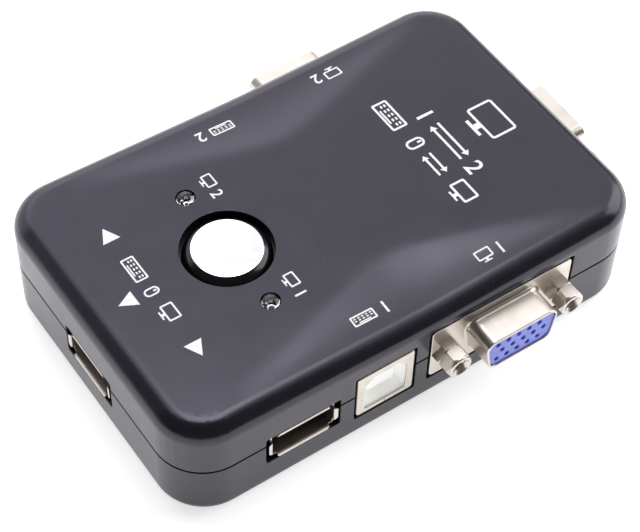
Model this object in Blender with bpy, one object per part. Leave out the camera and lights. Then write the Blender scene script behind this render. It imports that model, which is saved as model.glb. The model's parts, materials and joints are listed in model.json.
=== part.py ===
"""Two-computer KVM switch box: a moulded two-part case around a circuit board with its sockets,
indicator lamps and a sprung selector button.

Frame: metres, +Z up, origin at the centre of the case's flat underside. +X runs along the case
towards the monitor socket, and -Y is the side of computer 1.
"""

import math

import bmesh
import bpy
from mathutils import Matrix, Vector

MM = 0.001
GAP = 0.3 * MM  # clearance between pieces that touch
PAST = 1.0 * MM  # how far a tool reaches past the surface that it cuts
MERGE = 0.001 * MM  # points closer than this are one point

# Case
BODY_LENGTH = 98.5 * MM
BODY_WIDTH = 64.0 * MM
BODY_HEIGHT = 24.0 * MM
SEAM_HEIGHT = 12.5 * MM
CORNER_RADIUS = 9.5 * MM
TOP_EDGE_RADIUS = 3.6 * MM
BOTTOM_EDGE_RADIUS = 2.5 * MM
BOTTOM_INNER_RADIUS = 1.0 * MM
WALL = 2.0 * MM
REBATE_WALL = 1.0 * MM  # what is left of the top cover's wall where the lip slides in
LIP_RISE = 1.4 * MM
CORNER_STEPS = 6

# Scoop along each long side of the top cover
SCOOP_MIDDLE_X = 2.0 * MM
SCOOP_CREST_Y = 16.6 * MM  # the crease's distance from the centre line at its nearest
SCOOP_CREASE_SLOPE = 0.34
SCOOP_CREST_ROUNDING = 5.0 * MM
SCOOP_DEPTH = 1.1 * MM
SCOOP_COLUMNS = 16
SCOOP_ROWS = 3
SCOOP_TOOL_RISE = 0.02 * MM  # the tool starts just above the top face, so that it crosses it cleanly

# Circuit board and what clamps it
BOARD_TOP = 5.8 * MM
BOARD_THICKNESS = 1.6 * MM
BOARD_CLEARANCE = 0.6 * MM
BOSS_INSET = 8.0 * MM  # from the outer side walls to a boss's axis
TOP_BOSS_RADIUS = 3.0 * MM
BOTTOM_BOSS_RADIUS = 4.2 * MM
SCREW_RADIUS = 1.3 * MM
SCREW_ENGAGEMENT = 7.5 * MM
SCREW_HEAD_RADIUS = 2.6 * MM
SCREW_HEAD_THICKNESS = 1.6 * MM
SCREW_HEAD_PROFILE = ((0.6, 0.0), (0.92, 0.35 * MM), (1.0, 0.8 * MM))  # (share of the radius, rise)
SCREW_HEAD_RECESS = 0.4 * MM  # how far the head sits inside the underside
SCREW_SLOT_WIDTH = 0.7 * MM
SCREW_SLOT_SHARE = 0.62  # of the head's radius
SCREW_SLOT_DEPTH = 0.8 * MM

# Selector button, its spring and the switch under it
BUTTON_X = -20.4 * MM
BUTTON_HOLE_RADIUS = 8.5 * MM
BUTTON_CAP_GAP = 0.35 * MM
BUTTON_CAP_EDGE_RADIUS = 1.7 * MM
BUTTON_CAP_CROWN = 0.45 * MM
BUTTON_STANDS_PROUD = 0.35 * MM
BUTTON_CAP_WALL = 1.2 * MM
BUTTON_TRAVEL = 1.2 * MM
BUTTON_FLANGE_OVERHANG = 1.1 * MM
BUTTON_FLANGE_THICKNESS = 1.2 * MM
BUTTON_POST_RADIUS = 2.0 * MM
GUIDE_COLLAR_WALL = 1.2 * MM
GUIDE_COLLAR_DEPTH = 5.0 * MM
SPRING_RADIUS = 5.4 * MM
SPRING_WIRE_RADIUS = 0.35 * MM
SPRING_TURNS = 5
SPRING_STEPS = 12  # points in a turn
SPRING_END_PITCH = 2.2  # the end turns' pitch, in wire radii
SWITCH_SIDE = 6.0 * MM
SWITCH_HEIGHT = 5.0 * MM
SWITCH_CORNER = 0.5 * MM
SWITCH_PLUNGER_RADIUS = 1.7 * MM
SWITCH_PLUNGER_RISE = 1.8 * MM
SWITCH_PLUNGER_EMBED = 1.2 * MM  # how far it reaches into the body at rest

# Indicator lamps
LAMP_Y = BUTTON_HOLE_RADIUS + 5.3 * MM
LAMP_RADIUS = 1.5 * MM
LAMP_RIM_RADIUS = 1.9 * MM
LAMP_RIM_THICKNESS = 0.9 * MM
LAMP_BODY_LENGTH = 5.2 * MM
LAMP_STANDS_PROUD = 0.6 * MM
LAMP_LEG_SIDE = 0.5 * MM
LAMP_LEG_SPACING = 2.54 * MM

# Video sockets: a nickel shell with a D-shaped nose, a plastic insulator and two jackscrews
VGA_X = 16.6 * MM
VGA_HEIGHT = 12.55 * MM
VGA_FLANGE_WIDTH = 30.8 * MM
VGA_FLANGE_HEIGHT = 12.5 * MM
VGA_FLANGE_THICKNESS = 0.6 * MM
VGA_FLANGE_CORNER = 0.9 * MM
VGA_NOSE_WIDTH = 16.4 * MM
VGA_NOSE_HEIGHT = 7.9 * MM
VGA_NOSE_LENGTH = 6.1 * MM
VGA_NOSE_CORNER = 2.3 * MM
VGA_NOSE_LEAN = math.radians(10.0)
VGA_NOSE_WALL = 0.4 * MM
VGA_FACE_RECESS = 0.15 * MM
VGA_INSULATOR_GAP = 0.15 * MM
VGA_SCREW_SPACING = 25.0 * MM
VGA_HOLE_RADIUS = 0.55 * MM
VGA_HOLE_DEPTH = 3.0 * MM
VGA_HOLE_PITCH = 2.29 * MM
VGA_ROW_PITCH = 1.98 * MM
VGA_REAR_DEPTH = 9.0 * MM
VGA_REAR_SIDE_INSET = 0.4 * MM
VGA_REAR_TOP_INSET = 0.8 * MM
VGA_WINDOW_MARGIN = 0.45 * MM
JACKSCREW_ACROSS_FLATS = 4.8 * MM
JACKSCREW_LENGTH = 5.0 * MM
JACKSCREW_TURNED_RADIUS = 2.6 * MM
JACKSCREW_TURNED_SHARE = 0.45  # of the length, at the tip
JACKSCREW_CHAMFER = 0.5 * MM
JACKSCREW_STUD_RADIUS = 1.3 * MM
JACKSCREW_STUD_LENGTH = 6.0 * MM
JACKSCREW_BORE_RADIUS = 1.45 * MM
JACKSCREW_BORE_DEPTH = 4.0 * MM

# Square sockets that take the computers' leads
USB_B_X = -8.4 * MM
USB_B_WIDTH = 12.1 * MM
USB_B_TALL = 10.9 * MM
USB_B_ABOVE_BOARD = 0.35 * MM
USB_B_HEIGHT = BOARD_TOP + USB_B_ABOVE_BOARD + USB_B_TALL / 2
USB_B_DEPTH = 16.0 * MM
USB_B_SHEET = 0.35 * MM
USB_B_CORNER = 0.6 * MM
USB_B_MOUTH_WIDTH = 8.45 * MM
USB_B_MOUTH_TALL = 7.78 * MM
USB_B_MOUTH_CHAMFER = 1.7 * MM
USB_B_MOUTH_DEPTH = 9.0 * MM
USB_B_FRAME_MARGIN = 0.25 * MM  # the steel frame's opening clears the plastic mouth by this
USB_B_TONGUE_WIDTH = 5.6 * MM
USB_B_TONGUE_TALL = 3.2 * MM
USB_B_TONGUE_RECESS = 1.4 * MM
USB_B_WINDOW_MARGIN = 0.4 * MM

# Flat sockets that take the keyboard and mouse
USB_A_X = -25.5 * MM
USB_A_HEIGHT = 10.8 * MM
USB_A_MOUTH_WIDTH = 12.5 * MM
USB_A_MOUTH_TALL = 5.1 * MM
USB_A_DEPTH = 13.8 * MM
USB_A_SHEET = 0.3 * MM
USB_A_LIP_LENGTH = 0.9 * MM
USB_A_LIP_SPLAY = 0.55 * MM
USB_A_LIP_TAPER = 0.4  # of the splay, at each end of a lip
USB_A_LIP_ROOT = 0.6 * MM  # how far a lip's root lies over the tube
USB_A_LIP_CORNER_RELIEF = 1.0 * MM
USB_A_TONGUE_WIDTH = 11.1 * MM
USB_A_TONGUE_TALL = 1.84 * MM
USB_A_TONGUE_DROP = 0.55 * MM  # from the mouth's ceiling to the tongue
USB_A_TONGUE_RECESS = 1.6 * MM
USB_A_BACK_THICKNESS = 3.5 * MM
USB_A_TAIL = 1.5 * MM  # how far the insulator runs on behind the tube, down to its foot
USB_A_FOOT_START = 3.0 * MM  # from the outer wall
USB_A_WINDOW_WIDTH = 15.2 * MM
USB_A_WINDOW_TALL = 6.9 * MM

# Electronics on the board
CHIP_SIZE = Vector((10.3, 7.5, 2.3)) * MM
CHIP_BEVEL = 0.3 * MM
CHIP_PLACES = ((6.0, -7.5), (6.0, 7.5), (24.0, 6.0))  # millimetres
CRYSTAL_SIZE = Vector((11.0, 4.6, 3.5)) * MM
CRYSTAL_PLACE = (24.0, -6.0)
CRYSTAL_END_ROUNDING = 0.95  # of half the width
CRYSTAL_TOP_RADIUS = 0.5 * MM
CAPACITOR_RADIUS = 2.5 * MM
CAPACITOR_HEIGHT = 7.0 * MM
CAPACITOR_PLACES = ((-6.5, -5.0), (-6.5, 5.0))
CAPACITOR_GROOVE_HEIGHT = 1.2 * MM
CAPACITOR_GROOVE_WIDTH = 0.8 * MM
CAPACITOR_GROOVE_DEPTH = 0.3 * MM
CAPACITOR_SHOULDER = Vector((0.4, 0.3)) * MM

INNER_CORNER_RADIUS = CORNER_RADIUS - WALL
BOARD_BOTTOM = BOARD_TOP - BOARD_THICKNESS
CEILING = BODY_HEIGHT - WALL
HALF_SEAM = GAP / 2
BUTTON_CAP_RADIUS = BUTTON_HOLE_RADIUS - BUTTON_CAP_GAP
BUTTON_TOP = BODY_HEIGHT + BUTTON_STANDS_PROUD


def remove_everything():
    """Empties the scene, so that the script can run again in an open file."""
    for obj in list(bpy.data.objects):
        bpy.data.objects.remove(obj)


def finish(name, colour, roughness, metallic=0.0, alpha=1.0):
    """A plain material of that colour."""
    material = bpy.data.materials.new(name)
    material.use_nodes = True
    shader = material.node_tree.nodes["Principled BSDF"]
    shader.inputs["Base Color"].default_value = (*colour, 1.0)
    shader.inputs["Roughness"].default_value = roughness
    shader.inputs["Metallic"].default_value = metallic
    shader.inputs["Alpha"].default_value = alpha
    material.diffuse_color = (*colour, alpha)
    return material


def add_object(name, mesh_data, material=None, parent=None):
    """Links a new object that holds the bmesh; a piece gets a material, and a tool gets none."""
    bmesh.ops.recalc_face_normals(mesh_data, faces=mesh_data.faces)
    mesh = bpy.data.meshes.new(name)
    mesh_data.to_mesh(mesh)
    mesh_data.free()
    mesh.shade_smooth()
    mesh.set_sharp_from_angle(angle=math.radians(35.0))
    obj = bpy.data.objects.new(name, mesh)
    bpy.context.scene.collection.objects.link(obj)
    obj.parent = parent
    if material is None:
        obj.hide_render = True
        obj.display_type = "WIRE"
    else:
        mesh.materials.append(material)
    return obj


def add_empty(name, location, turn=0.0):
    """A frame that the pieces of one sub-assembly are parented to."""
    empty = bpy.data.objects.new(name, None)
    empty.location = location
    empty.rotation_euler = (0.0, 0.0, turn)
    bpy.context.scene.collection.objects.link(empty)
    return empty


def combine(obj, tool, operation):
    """Adds a Boolean of obj with a hidden tool."""
    modifier = obj.modifiers.new(f"{operation.lower()} {tool.name}", "BOOLEAN")
    modifier.operation = operation
    modifier.object = tool
    modifier.solver = "EXACT"


def cut(obj, *tools):
    """Cuts each tool out of obj."""
    for tool in tools:
        combine(obj, tool, "DIFFERENCE")


def join(obj, *tools):
    """Fuses each tool to obj."""
    for tool in tools:
        combine(obj, tool, "UNION")


def block(low, high):
    """A bmesh box between two corners."""
    low, high = Vector(low), Vector(high)
    size = high - low
    place = Matrix.Translation((low + high) / 2) @ Matrix.Diagonal((*size, 1.0))
    mesh_data = bmesh.new()
    bmesh.ops.create_cube(mesh_data, size=1.0, matrix=place)
    return mesh_data


def bevel_edges(mesh_data, chosen, radius, steps):
    """Rounds the edges that chosen picks."""
    edges = [edge for edge in mesh_data.edges if chosen(edge)]
    bmesh.ops.bevel(
        mesh_data, geom=edges, offset=radius, segments=steps, profile=0.5, affect="EDGES",
        clamp_overlap=False, material=-1,
    )


def runs_along(edge, axis):
    """Whether an edge is parallel to that axis (0, 1 or 2)."""
    along = (edge.verts[1].co - edge.verts[0].co).normalized()
    return abs(along[axis]) > 0.999


def lies_at(edge, axis, level):
    """Whether both ends of an edge are at that level of the axis."""
    return all(abs(vert.co[axis] - level) < MERGE for vert in edge.verts)


def rounded_block(length, width, low, high, corner_radius, top_radius=0.0, bottom_radius=0.0, edge_steps=5):
    """A box centred on the origin in X and Y, with round upright corners and round top or bottom edges."""
    mesh_data = block((-length / 2, -width / 2, low), (length / 2, width / 2, high))
    bevel_edges(mesh_data, lambda edge: runs_along(edge, 2), corner_radius, CORNER_STEPS)
    if top_radius:
        bevel_edges(mesh_data, lambda edge: lies_at(edge, 2, high), top_radius, edge_steps)
    if bottom_radius:
        bevel_edges(mesh_data, lambda edge: lies_at(edge, 2, low), bottom_radius, edge_steps)
    return mesh_data


def turned(profile, steps, centre=(0.0, 0.0, 0.0)):
    """Spins a profile of (radius, height) points about +Z; its ends lie on the axis."""
    mesh_data = bmesh.new()
    points = [mesh_data.verts.new((radius, 0.0, height)) for radius, height in profile]
    edges = [mesh_data.edges.new(pair) for pair in zip(points, points[1:])]
    bmesh.ops.spin(
        mesh_data, geom=points + edges, cent=(0, 0, 0), axis=(0, 0, 1), angle=math.tau,
        steps=steps, use_merge=True,
    )
    bmesh.ops.remove_doubles(mesh_data, verts=mesh_data.verts, dist=MERGE)
    bmesh.ops.translate(mesh_data, vec=Vector(centre), verts=mesh_data.verts)
    return mesh_data


def cylinder(radius, low, high, centre=(0.0, 0.0), steps=16):
    """An upright round bar."""
    profile = [(0.0, low), (radius, low), (radius, high), (0.0, high)]
    return turned(profile, steps, (*centre, 0.0))


def prism(outline, start, end):
    """A flat outline in X and Z, extruded along Y from start to end."""
    mesh_data = bmesh.new()
    face = mesh_data.faces.new([mesh_data.verts.new((x, start, z)) for x, z in outline])
    grown = bmesh.ops.extrude_face_region(mesh_data, geom=[face])
    moved = [item for item in grown["geom"] if isinstance(item, bmesh.types.BMVert)]
    bmesh.ops.translate(mesh_data, vec=(0.0, end - start, 0.0), verts=moved)
    return mesh_data


def arc(centre, radius, start, end, steps):
    """Points along an arc in a plane, both ends included."""
    angles = [start + (end - start) * step / steps for step in range(steps + 1)]
    return [(centre[0] + radius * math.cos(a), centre[1] + radius * math.sin(a)) for a in angles]


def d_outline(width, height, corner, lean, steps=4):
    """The D shape of a video socket: wide at the top, its sides leaning in towards the bottom."""
    half_top = width / 2
    half_bottom = half_top - height * math.tan(lean)
    # A side leans by `lean`, so each corner's arc turns by a right angle less or more than that.
    top_z, bottom_z = height / 2 - corner, -height / 2 + corner
    top_x = half_top - corner * math.tan(math.pi / 4 + lean / 2)
    bottom_x = half_bottom - corner * math.tan(math.pi / 4 - lean / 2)
    right = arc((bottom_x, bottom_z), corner, -math.pi / 2, -lean, steps)
    right += arc((top_x, top_z), corner, -lean, math.pi / 2, steps)
    return right + [(-x, z) for x, z in reversed(right)]


def crease_y(x):
    """How far the scoop's crease lies from the centre line at x."""
    run = math.hypot(x - SCOOP_MIDDLE_X, SCOOP_CREST_ROUNDING) - SCOOP_CREST_ROUNDING
    return SCOOP_CREST_Y + SCOOP_CREASE_SLOPE * run


def scoop_tool(side):
    """The solid above one scooped flank: its underside falls from the crease towards the long edge."""
    shoulder_y = BODY_WIDTH / 2 - TOP_EDGE_RADIUS
    outside_y = BODY_WIDTH / 2 + 2 * PAST
    longest_fall = shoulder_y - SCOOP_CREST_Y
    run = longest_fall / SCOOP_CREASE_SLOPE + SCOOP_CREST_ROUNDING
    reach = math.sqrt(run**2 - SCOOP_CREST_ROUNDING**2)
    mesh_data = bmesh.new()
    bmesh.ops.create_grid(mesh_data, x_segments=SCOOP_COLUMNS, y_segments=SCOOP_ROWS + 1, size=0.5)
    for vert in mesh_data.verts:
        x = SCOOP_MIDDLE_X + 2 * vert.co.x * reach
        share = round((vert.co.y + 0.5) * (SCOOP_ROWS + 1)) / SCOOP_ROWS
        crease = crease_y(x)
        fall = max(shoulder_y - crease, 0.0)
        depth = SCOOP_DEPTH * fall / longest_fall * (1.0 - (1.0 - min(share, 1.0)) ** 2)
        y = outside_y if share > 1.0 else crease + fall * share
        vert.co = (x, side * y, BODY_HEIGHT + SCOOP_TOOL_RISE - depth)
    top = BODY_HEIGHT + 3 * PAST
    grown = bmesh.ops.extrude_face_region(mesh_data, geom=list(mesh_data.faces))
    for item in grown["geom"]:
        if isinstance(item, bmesh.types.BMVert):
            item.co.z = top
    return add_object(f"scoop_tool_{'back' if side > 0 else 'front'}", mesh_data)


def boss_places():
    """The four bosses' axes, in X and Y."""
    x, y = BODY_LENGTH / 2 - BOSS_INSET, BODY_WIDTH / 2 - BOSS_INSET
    return [(sx * x, sy * y) for sx in (-1, 1) for sy in (-1, 1)]


class Port:
    """A socket's place: local -Y points out of the case, and the local origin is on the outer wall."""

    def __init__(self, name, x, y, height, turn):
        self.name = name
        self.frame = add_empty(f"{name}_frame", (x, y, height), turn)

    def window(self, width, tall):
        """The tool that opens the case's wall for the socket."""
        reach = WALL + 2 * PAST
        low, high = (-width / 2, -reach, -tall / 2), (width / 2, reach, tall / 2)
        return add_object(f"{self.name}_window_tool", block(low, high), parent=self.frame)


def make_ports():
    """Every socket's place, grouped by its kind."""
    front, back = -BODY_WIDTH / 2, BODY_WIDTH / 2
    left, right = -BODY_LENGTH / 2, BODY_LENGTH / 2
    quarter = math.pi / 2
    vga = [
        Port("vga_computer_1", VGA_X, front, VGA_HEIGHT, 0.0),
        Port("vga_computer_2", VGA_X, back, VGA_HEIGHT, math.pi),
        Port("vga_monitor", right, 0.0, VGA_HEIGHT, quarter),
    ]
    usb_b = [
        Port("usb_b_computer_1", USB_B_X, front, USB_B_HEIGHT, 0.0),
        Port("usb_b_computer_2", USB_B_X, back, USB_B_HEIGHT, math.pi),
    ]
    usb_a = [
        Port("usb_a_front", USB_A_X, front, USB_A_HEIGHT, 0.0),
        Port("usb_a_back", USB_A_X, back, USB_A_HEIGHT, math.pi),
        Port("usb_a_end", left, 0.0, USB_A_HEIGHT, -quarter),
    ]
    return vga, usb_b, usb_a


def make_windows(vga, usb_b, usb_a):
    """One cutting tool for each socket's opening."""
    margin = 2 * VGA_WINDOW_MARGIN
    windows = [port.window(VGA_FLANGE_WIDTH + margin, VGA_FLANGE_HEIGHT + margin) for port in vga]
    margin = 2 * USB_B_WINDOW_MARGIN
    windows += [port.window(USB_B_WIDTH + margin, USB_B_TALL + margin) for port in usb_b]
    windows += [port.window(USB_A_WINDOW_WIDTH, USB_A_WINDOW_TALL) for port in usb_a]
    return windows


def make_top_cover(material, windows):
    """The upper shell, with its scoops, button and lamp holes, guide collar and four bosses."""
    low = SEAM_HEIGHT + HALF_SEAM
    shell = rounded_block(
        BODY_LENGTH, BODY_WIDTH, low, BODY_HEIGHT, CORNER_RADIUS, TOP_EDGE_RADIUS, edge_steps=4,
    )
    cover = add_object("top_cover", shell, material)
    cavity_low = SEAM_HEIGHT - 2 * PAST
    cavity = add_object("top_cavity_tool", rounded_block(
        BODY_LENGTH - 2 * WALL, BODY_WIDTH - 2 * WALL, cavity_low, CEILING,
        INNER_CORNER_RADIUS, TOP_EDGE_RADIUS - WALL, edge_steps=2,
    ))
    rebate = add_object("rebate_tool", rounded_block(
        BODY_LENGTH - 2 * REBATE_WALL, BODY_WIDTH - 2 * REBATE_WALL,
        cavity_low, SEAM_HEIGHT + LIP_RISE + GAP, CORNER_RADIUS - REBATE_WALL,
    ))
    for number, place in enumerate(boss_places(), 1):
        boss = cylinder(TOP_BOSS_RADIUS, cavity_low - PAST, CEILING + PAST, place)
        cut(cavity, add_object(f"top_boss_keeper_{number}", boss))
    collar_outer = BUTTON_HOLE_RADIUS + BUTTON_FLANGE_OVERHANG + GAP + GUIDE_COLLAR_WALL
    collar = cylinder(collar_outer, CEILING - GUIDE_COLLAR_DEPTH, CEILING + PAST, (BUTTON_X, 0.0), 32)
    cut(cavity, add_object("collar_keeper", collar))
    cut(cover, cavity)
    for number, place in enumerate(boss_places(), 1):
        boss = cylinder(TOP_BOSS_RADIUS, BOARD_TOP + GAP, SEAM_HEIGHT + PAST, place)
        join(cover, add_object(f"top_boss_tool_{number}", boss))
    cut(cover, rebate_around_bosses(rebate))
    for number, place in enumerate(boss_places(), 1):
        pilot_top = BOARD_TOP + SCREW_ENGAGEMENT + 2 * PAST
        pilot = cylinder(SCREW_RADIUS + GAP, BOARD_TOP - PAST, pilot_top, place, 10)
        cut(cover, add_object(f"pilot_tool_{number}", pilot))
    cut(cover, scoop_tool(-1), scoop_tool(1))
    hole = cylinder(BUTTON_HOLE_RADIUS, CEILING - PAST, BODY_HEIGHT + PAST, (BUTTON_X, 0.0), 40)
    collar_bore = cylinder(
        collar_outer - GUIDE_COLLAR_WALL, CEILING - GUIDE_COLLAR_DEPTH - PAST, CEILING, (BUTTON_X, 0.0), 32,
    )
    cut(cover, add_object("collar_bore_tool", collar_bore), add_object("button_hole_tool", hole))
    for number, y in enumerate((-LAMP_Y, LAMP_Y), 1):
        lamp_hole = cylinder(LAMP_RADIUS + GAP, CEILING - PAST, BODY_HEIGHT + PAST, (BUTTON_X, y))
        cut(cover, add_object(f"lamp_hole_tool_{number}", lamp_hole))
    cut(cover, *windows)
    return cover


def rebate_around_bosses(rebate):
    """The rebate's tool with room left for the four bosses that pass through it."""
    for number, place in enumerate(boss_places(), 1):
        low, high = SEAM_HEIGHT - 3 * PAST, SEAM_HEIGHT + LIP_RISE + PAST
        keeper = cylinder(TOP_BOSS_RADIUS + PAST, low, high, place)
        cut(rebate, add_object(f"rebate_keeper_{number}", keeper))
    return rebate


def make_bottom_cover(material, windows):
    """The lower shell, with the lip that rises into the top cover and four counterbored bosses."""
    rim = SEAM_HEIGHT - HALF_SEAM
    shell = rounded_block(
        BODY_LENGTH, BODY_WIDTH, 0.0, rim, CORNER_RADIUS, bottom_radius=BOTTOM_EDGE_RADIUS, edge_steps=3,
    )
    top_face = max(shell.faces, key=lambda face: face.calc_center_median().z)
    lip_inset = REBATE_WALL + GAP
    bmesh.ops.inset_region(shell, faces=[top_face], thickness=lip_inset, use_even_offset=True)
    grown = bmesh.ops.extrude_face_region(shell, geom=[top_face])
    raised = [item for item in grown["geom"] if isinstance(item, bmesh.types.BMVert)]
    bmesh.ops.delete(shell, geom=[top_face], context="FACES_ONLY")
    bmesh.ops.translate(shell, vec=(0.0, 0.0, LIP_RISE + HALF_SEAM), verts=raised)
    cover = add_object("bottom_cover", shell, material)
    cavity = add_object("bottom_cavity_tool", rounded_block(
        BODY_LENGTH - 2 * WALL, BODY_WIDTH - 2 * WALL, WALL, SEAM_HEIGHT + LIP_RISE + 2 * PAST,
        INNER_CORNER_RADIUS, bottom_radius=BOTTOM_INNER_RADIUS, edge_steps=2,
    ))
    boss_top = BOARD_BOTTOM - GAP
    for number, place in enumerate(boss_places(), 1):
        keeper = cylinder(BOTTOM_BOSS_RADIUS, WALL - PAST, boss_top, place)
        cut(cavity, add_object(f"bottom_boss_keeper_{number}", keeper))
    cut(cover, cavity)
    head_room = SCREW_HEAD_RECESS + SCREW_HEAD_THICKNESS + GAP
    for number, place in enumerate(boss_places(), 1):
        bore = turned([
            (0.0, -PAST), (SCREW_HEAD_RADIUS + GAP, -PAST), (SCREW_HEAD_RADIUS + GAP, head_room),
            (SCREW_RADIUS + GAP, head_room), (SCREW_RADIUS + GAP, boss_top + PAST), (0.0, boss_top + PAST),
        ], 14, (*place, 0.0))
        cut(cover, add_object(f"screw_bore_tool_{number}", bore))
    cut(cover, *windows)
    return cover


def make_screws(material):
    """Four slotted pan-head screws that draw the covers together through the board."""
    head_top = SCREW_HEAD_RECESS + SCREW_HEAD_THICKNESS
    tip = BOARD_TOP + SCREW_ENGAGEMENT
    head = [(SCREW_HEAD_RADIUS * share, SCREW_HEAD_RECESS + height) for share, height in SCREW_HEAD_PROFILE]
    profile = [
        (0.0, SCREW_HEAD_RECESS), *head, (SCREW_HEAD_RADIUS, head_top),
        (SCREW_RADIUS, head_top), (SCREW_RADIUS, tip - SCREW_RADIUS), (0.0, tip),
    ]
    for number, place in enumerate(boss_places(), 1):
        screw = add_object(f"case_screw_{number}", turned(profile, 12), material)
        screw.location = (*place, 0.0)
        for name, turn in (("slot", 0.0), ("cross", math.pi / 2)):
            half = Vector((SCREW_HEAD_RADIUS * SCREW_SLOT_SHARE, SCREW_SLOT_WIDTH / 2, 0.0))
            low = -half + Vector((0.0, 0.0, -PAST))
            high = half + Vector((0.0, 0.0, SCREW_HEAD_RECESS + SCREW_SLOT_DEPTH))
            tool = add_object(f"screw_{name}_tool_{number}", block(low, high), parent=screw)
            tool.rotation_euler.z = turn
            cut(screw, tool)


def make_board(material):
    """The circuit board, clamped between the covers' bosses."""
    inset = 2 * (WALL + BOARD_CLEARANCE)
    corner = INNER_CORNER_RADIUS - BOARD_CLEARANCE
    sheet = rounded_block(BODY_LENGTH - inset, BODY_WIDTH - inset, BOARD_BOTTOM, BOARD_TOP, corner)
    board = add_object("circuit_board", sheet, material)
    for number, place in enumerate(boss_places(), 1):
        hole = cylinder(SCREW_RADIUS + GAP, BOARD_BOTTOM - PAST, BOARD_TOP + PAST, place, 10)
        cut(board, add_object(f"board_hole_tool_{number}", hole))
    return board


def make_button(cap_material, carrier_material):
    """The plated cap and the carrier that holds it, guides it and presses the switch."""
    frame = add_empty("button_frame", (BUTTON_X, 0.0, 0.0))
    edge = BUTTON_CAP_EDGE_RADIUS
    shoulder = BUTTON_CAP_RADIUS - edge
    sphere = (shoulder**2 + BUTTON_CAP_CROWN**2) / (2 * BUTTON_CAP_CROWN)
    top = [(r, BUTTON_TOP - sphere + math.sqrt(sphere**2 - r**2)) for r in (0.0, shoulder * 0.5, shoulder)]
    rim = BUTTON_TOP - BUTTON_CAP_CROWN
    round_edge = arc((shoulder, rim - edge), edge, math.pi / 2, 0.0, 5)[1:]
    base = CEILING
    inner = BUTTON_CAP_RADIUS - BUTTON_CAP_WALL
    inside_top = rim - BUTTON_CAP_WALL
    inside = [(inner, base), (inner, inside_top), (0.0, inside_top)]
    profile = [*top, *round_edge, (BUTTON_CAP_RADIUS, base), *inside]
    add_object("button_cap", turned(profile, 36), cap_material, frame)

    flange_top = CEILING - GAP
    flange_low = flange_top - BUTTON_FLANGE_THICKNESS
    flange_radius = BUTTON_HOLE_RADIUS + BUTTON_FLANGE_OVERHANG
    post_tip = switch_plunger_top() + GAP
    core = inner - GAP
    neck_top = inside_top - GAP
    carrier = turned([
        (0.0, post_tip), (BUTTON_POST_RADIUS, post_tip), (BUTTON_POST_RADIUS, flange_low),
        (flange_radius, flange_low), (flange_radius, flange_top),
        (core, flange_top), (core, neck_top), (0.0, neck_top),
    ], 24)
    add_object("button_carrier", carrier, carrier_material, frame)
    return flange_low


def switch_plunger_top():
    """The height of the switch's plunger at rest."""
    return BOARD_TOP + GAP + SWITCH_HEIGHT + SWITCH_PLUNGER_RISE


def make_spring(material, upper_end):
    """The coil spring that lifts the button, from the board to the carrier's flange."""
    low = BOARD_TOP + GAP + SPRING_WIRE_RADIUS
    high = upper_end - GAP - SPRING_WIRE_RADIUS
    steps = SPRING_STEPS
    count = SPRING_TURNS * steps
    lift = SPRING_END_PITCH * SPRING_WIRE_RADIUS
    curve = bpy.data.curves.new("return_spring", "CURVE")
    curve.dimensions = "3D"
    curve.bevel_depth = SPRING_WIRE_RADIUS
    curve.bevel_resolution = 1
    curve.use_fill_caps = True
    line = curve.splines.new("POLY")
    line.points.add(count)
    for number, point in enumerate(line.points):
        angle = math.tau * number / steps
        # The first and last turns lie flat, so that the ends bear all round.
        share = min(max((number - steps) / (count - 2 * steps), 0.0), 1.0)
        flat = lift * (min(number, steps) + max(number - count + steps, 0)) / steps
        height = low + flat + (high - low - 2 * lift) * share
        place = (SPRING_RADIUS * math.cos(angle), SPRING_RADIUS * math.sin(angle), height)
        point.co = (*place, 1.0)
    spring = bpy.data.objects.new("return_spring", curve)
    spring.location = (BUTTON_X, 0.0, 0.0)
    curve.materials.append(material)
    bpy.context.scene.collection.objects.link(spring)


def make_switch(body_material, plunger_material):
    """The small switch on the board and its plunger."""
    frame = add_empty("switch_frame", (BUTTON_X, 0.0, BOARD_TOP + GAP))
    half = SWITCH_SIDE / 2
    body = block((-half, -half, 0.0), (half, half, SWITCH_HEIGHT))
    bevel_edges(body, lambda edge: runs_along(edge, 2), SWITCH_CORNER, 2)
    switch = add_object("switch_body", body, body_material, frame)
    plunger_low = SWITCH_HEIGHT - SWITCH_PLUNGER_EMBED
    well = cylinder(SWITCH_PLUNGER_RADIUS + GAP, plunger_low - BUTTON_TRAVEL - GAP, SWITCH_HEIGHT + PAST)
    cut(switch, add_object("switch_well_tool", well, parent=frame))
    plunger = cylinder(SWITCH_PLUNGER_RADIUS, plunger_low, SWITCH_HEIGHT + SWITCH_PLUNGER_RISE)
    add_object("switch_plunger", plunger, plunger_material, frame)


def make_lamps(material):
    """The two indicator lamps, each a clear dome on two legs that stand on the board."""
    top = BODY_HEIGHT + LAMP_STANDS_PROUD
    low = top - LAMP_BODY_LENGTH
    dome = arc((0.0, top - LAMP_RADIUS), LAMP_RADIUS, 0.0, math.pi / 2, 4)
    profile = [
        (0.0, low), (LAMP_RIM_RADIUS, low), (LAMP_RIM_RADIUS, low + LAMP_RIM_THICKNESS),
        (LAMP_RADIUS, low + LAMP_RIM_THICKNESS), *dome,
    ]
    for number, y in enumerate((-LAMP_Y, LAMP_Y), 1):
        lamp = add_object(f"lamp_{number}", turned(profile, 14), material)
        lamp.location = (BUTTON_X, y, 0.0)
        for leg, side in enumerate((-1, 1), 1):
            x = side * LAMP_LEG_SPACING / 2
            half = LAMP_LEG_SIDE / 2
            bar = block((x - half, -half, BOARD_TOP + GAP), (x + half, half, low + PAST))
            join(lamp, add_object(f"lamp_{number}_leg_tool_{leg}", bar, parent=lamp))


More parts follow.
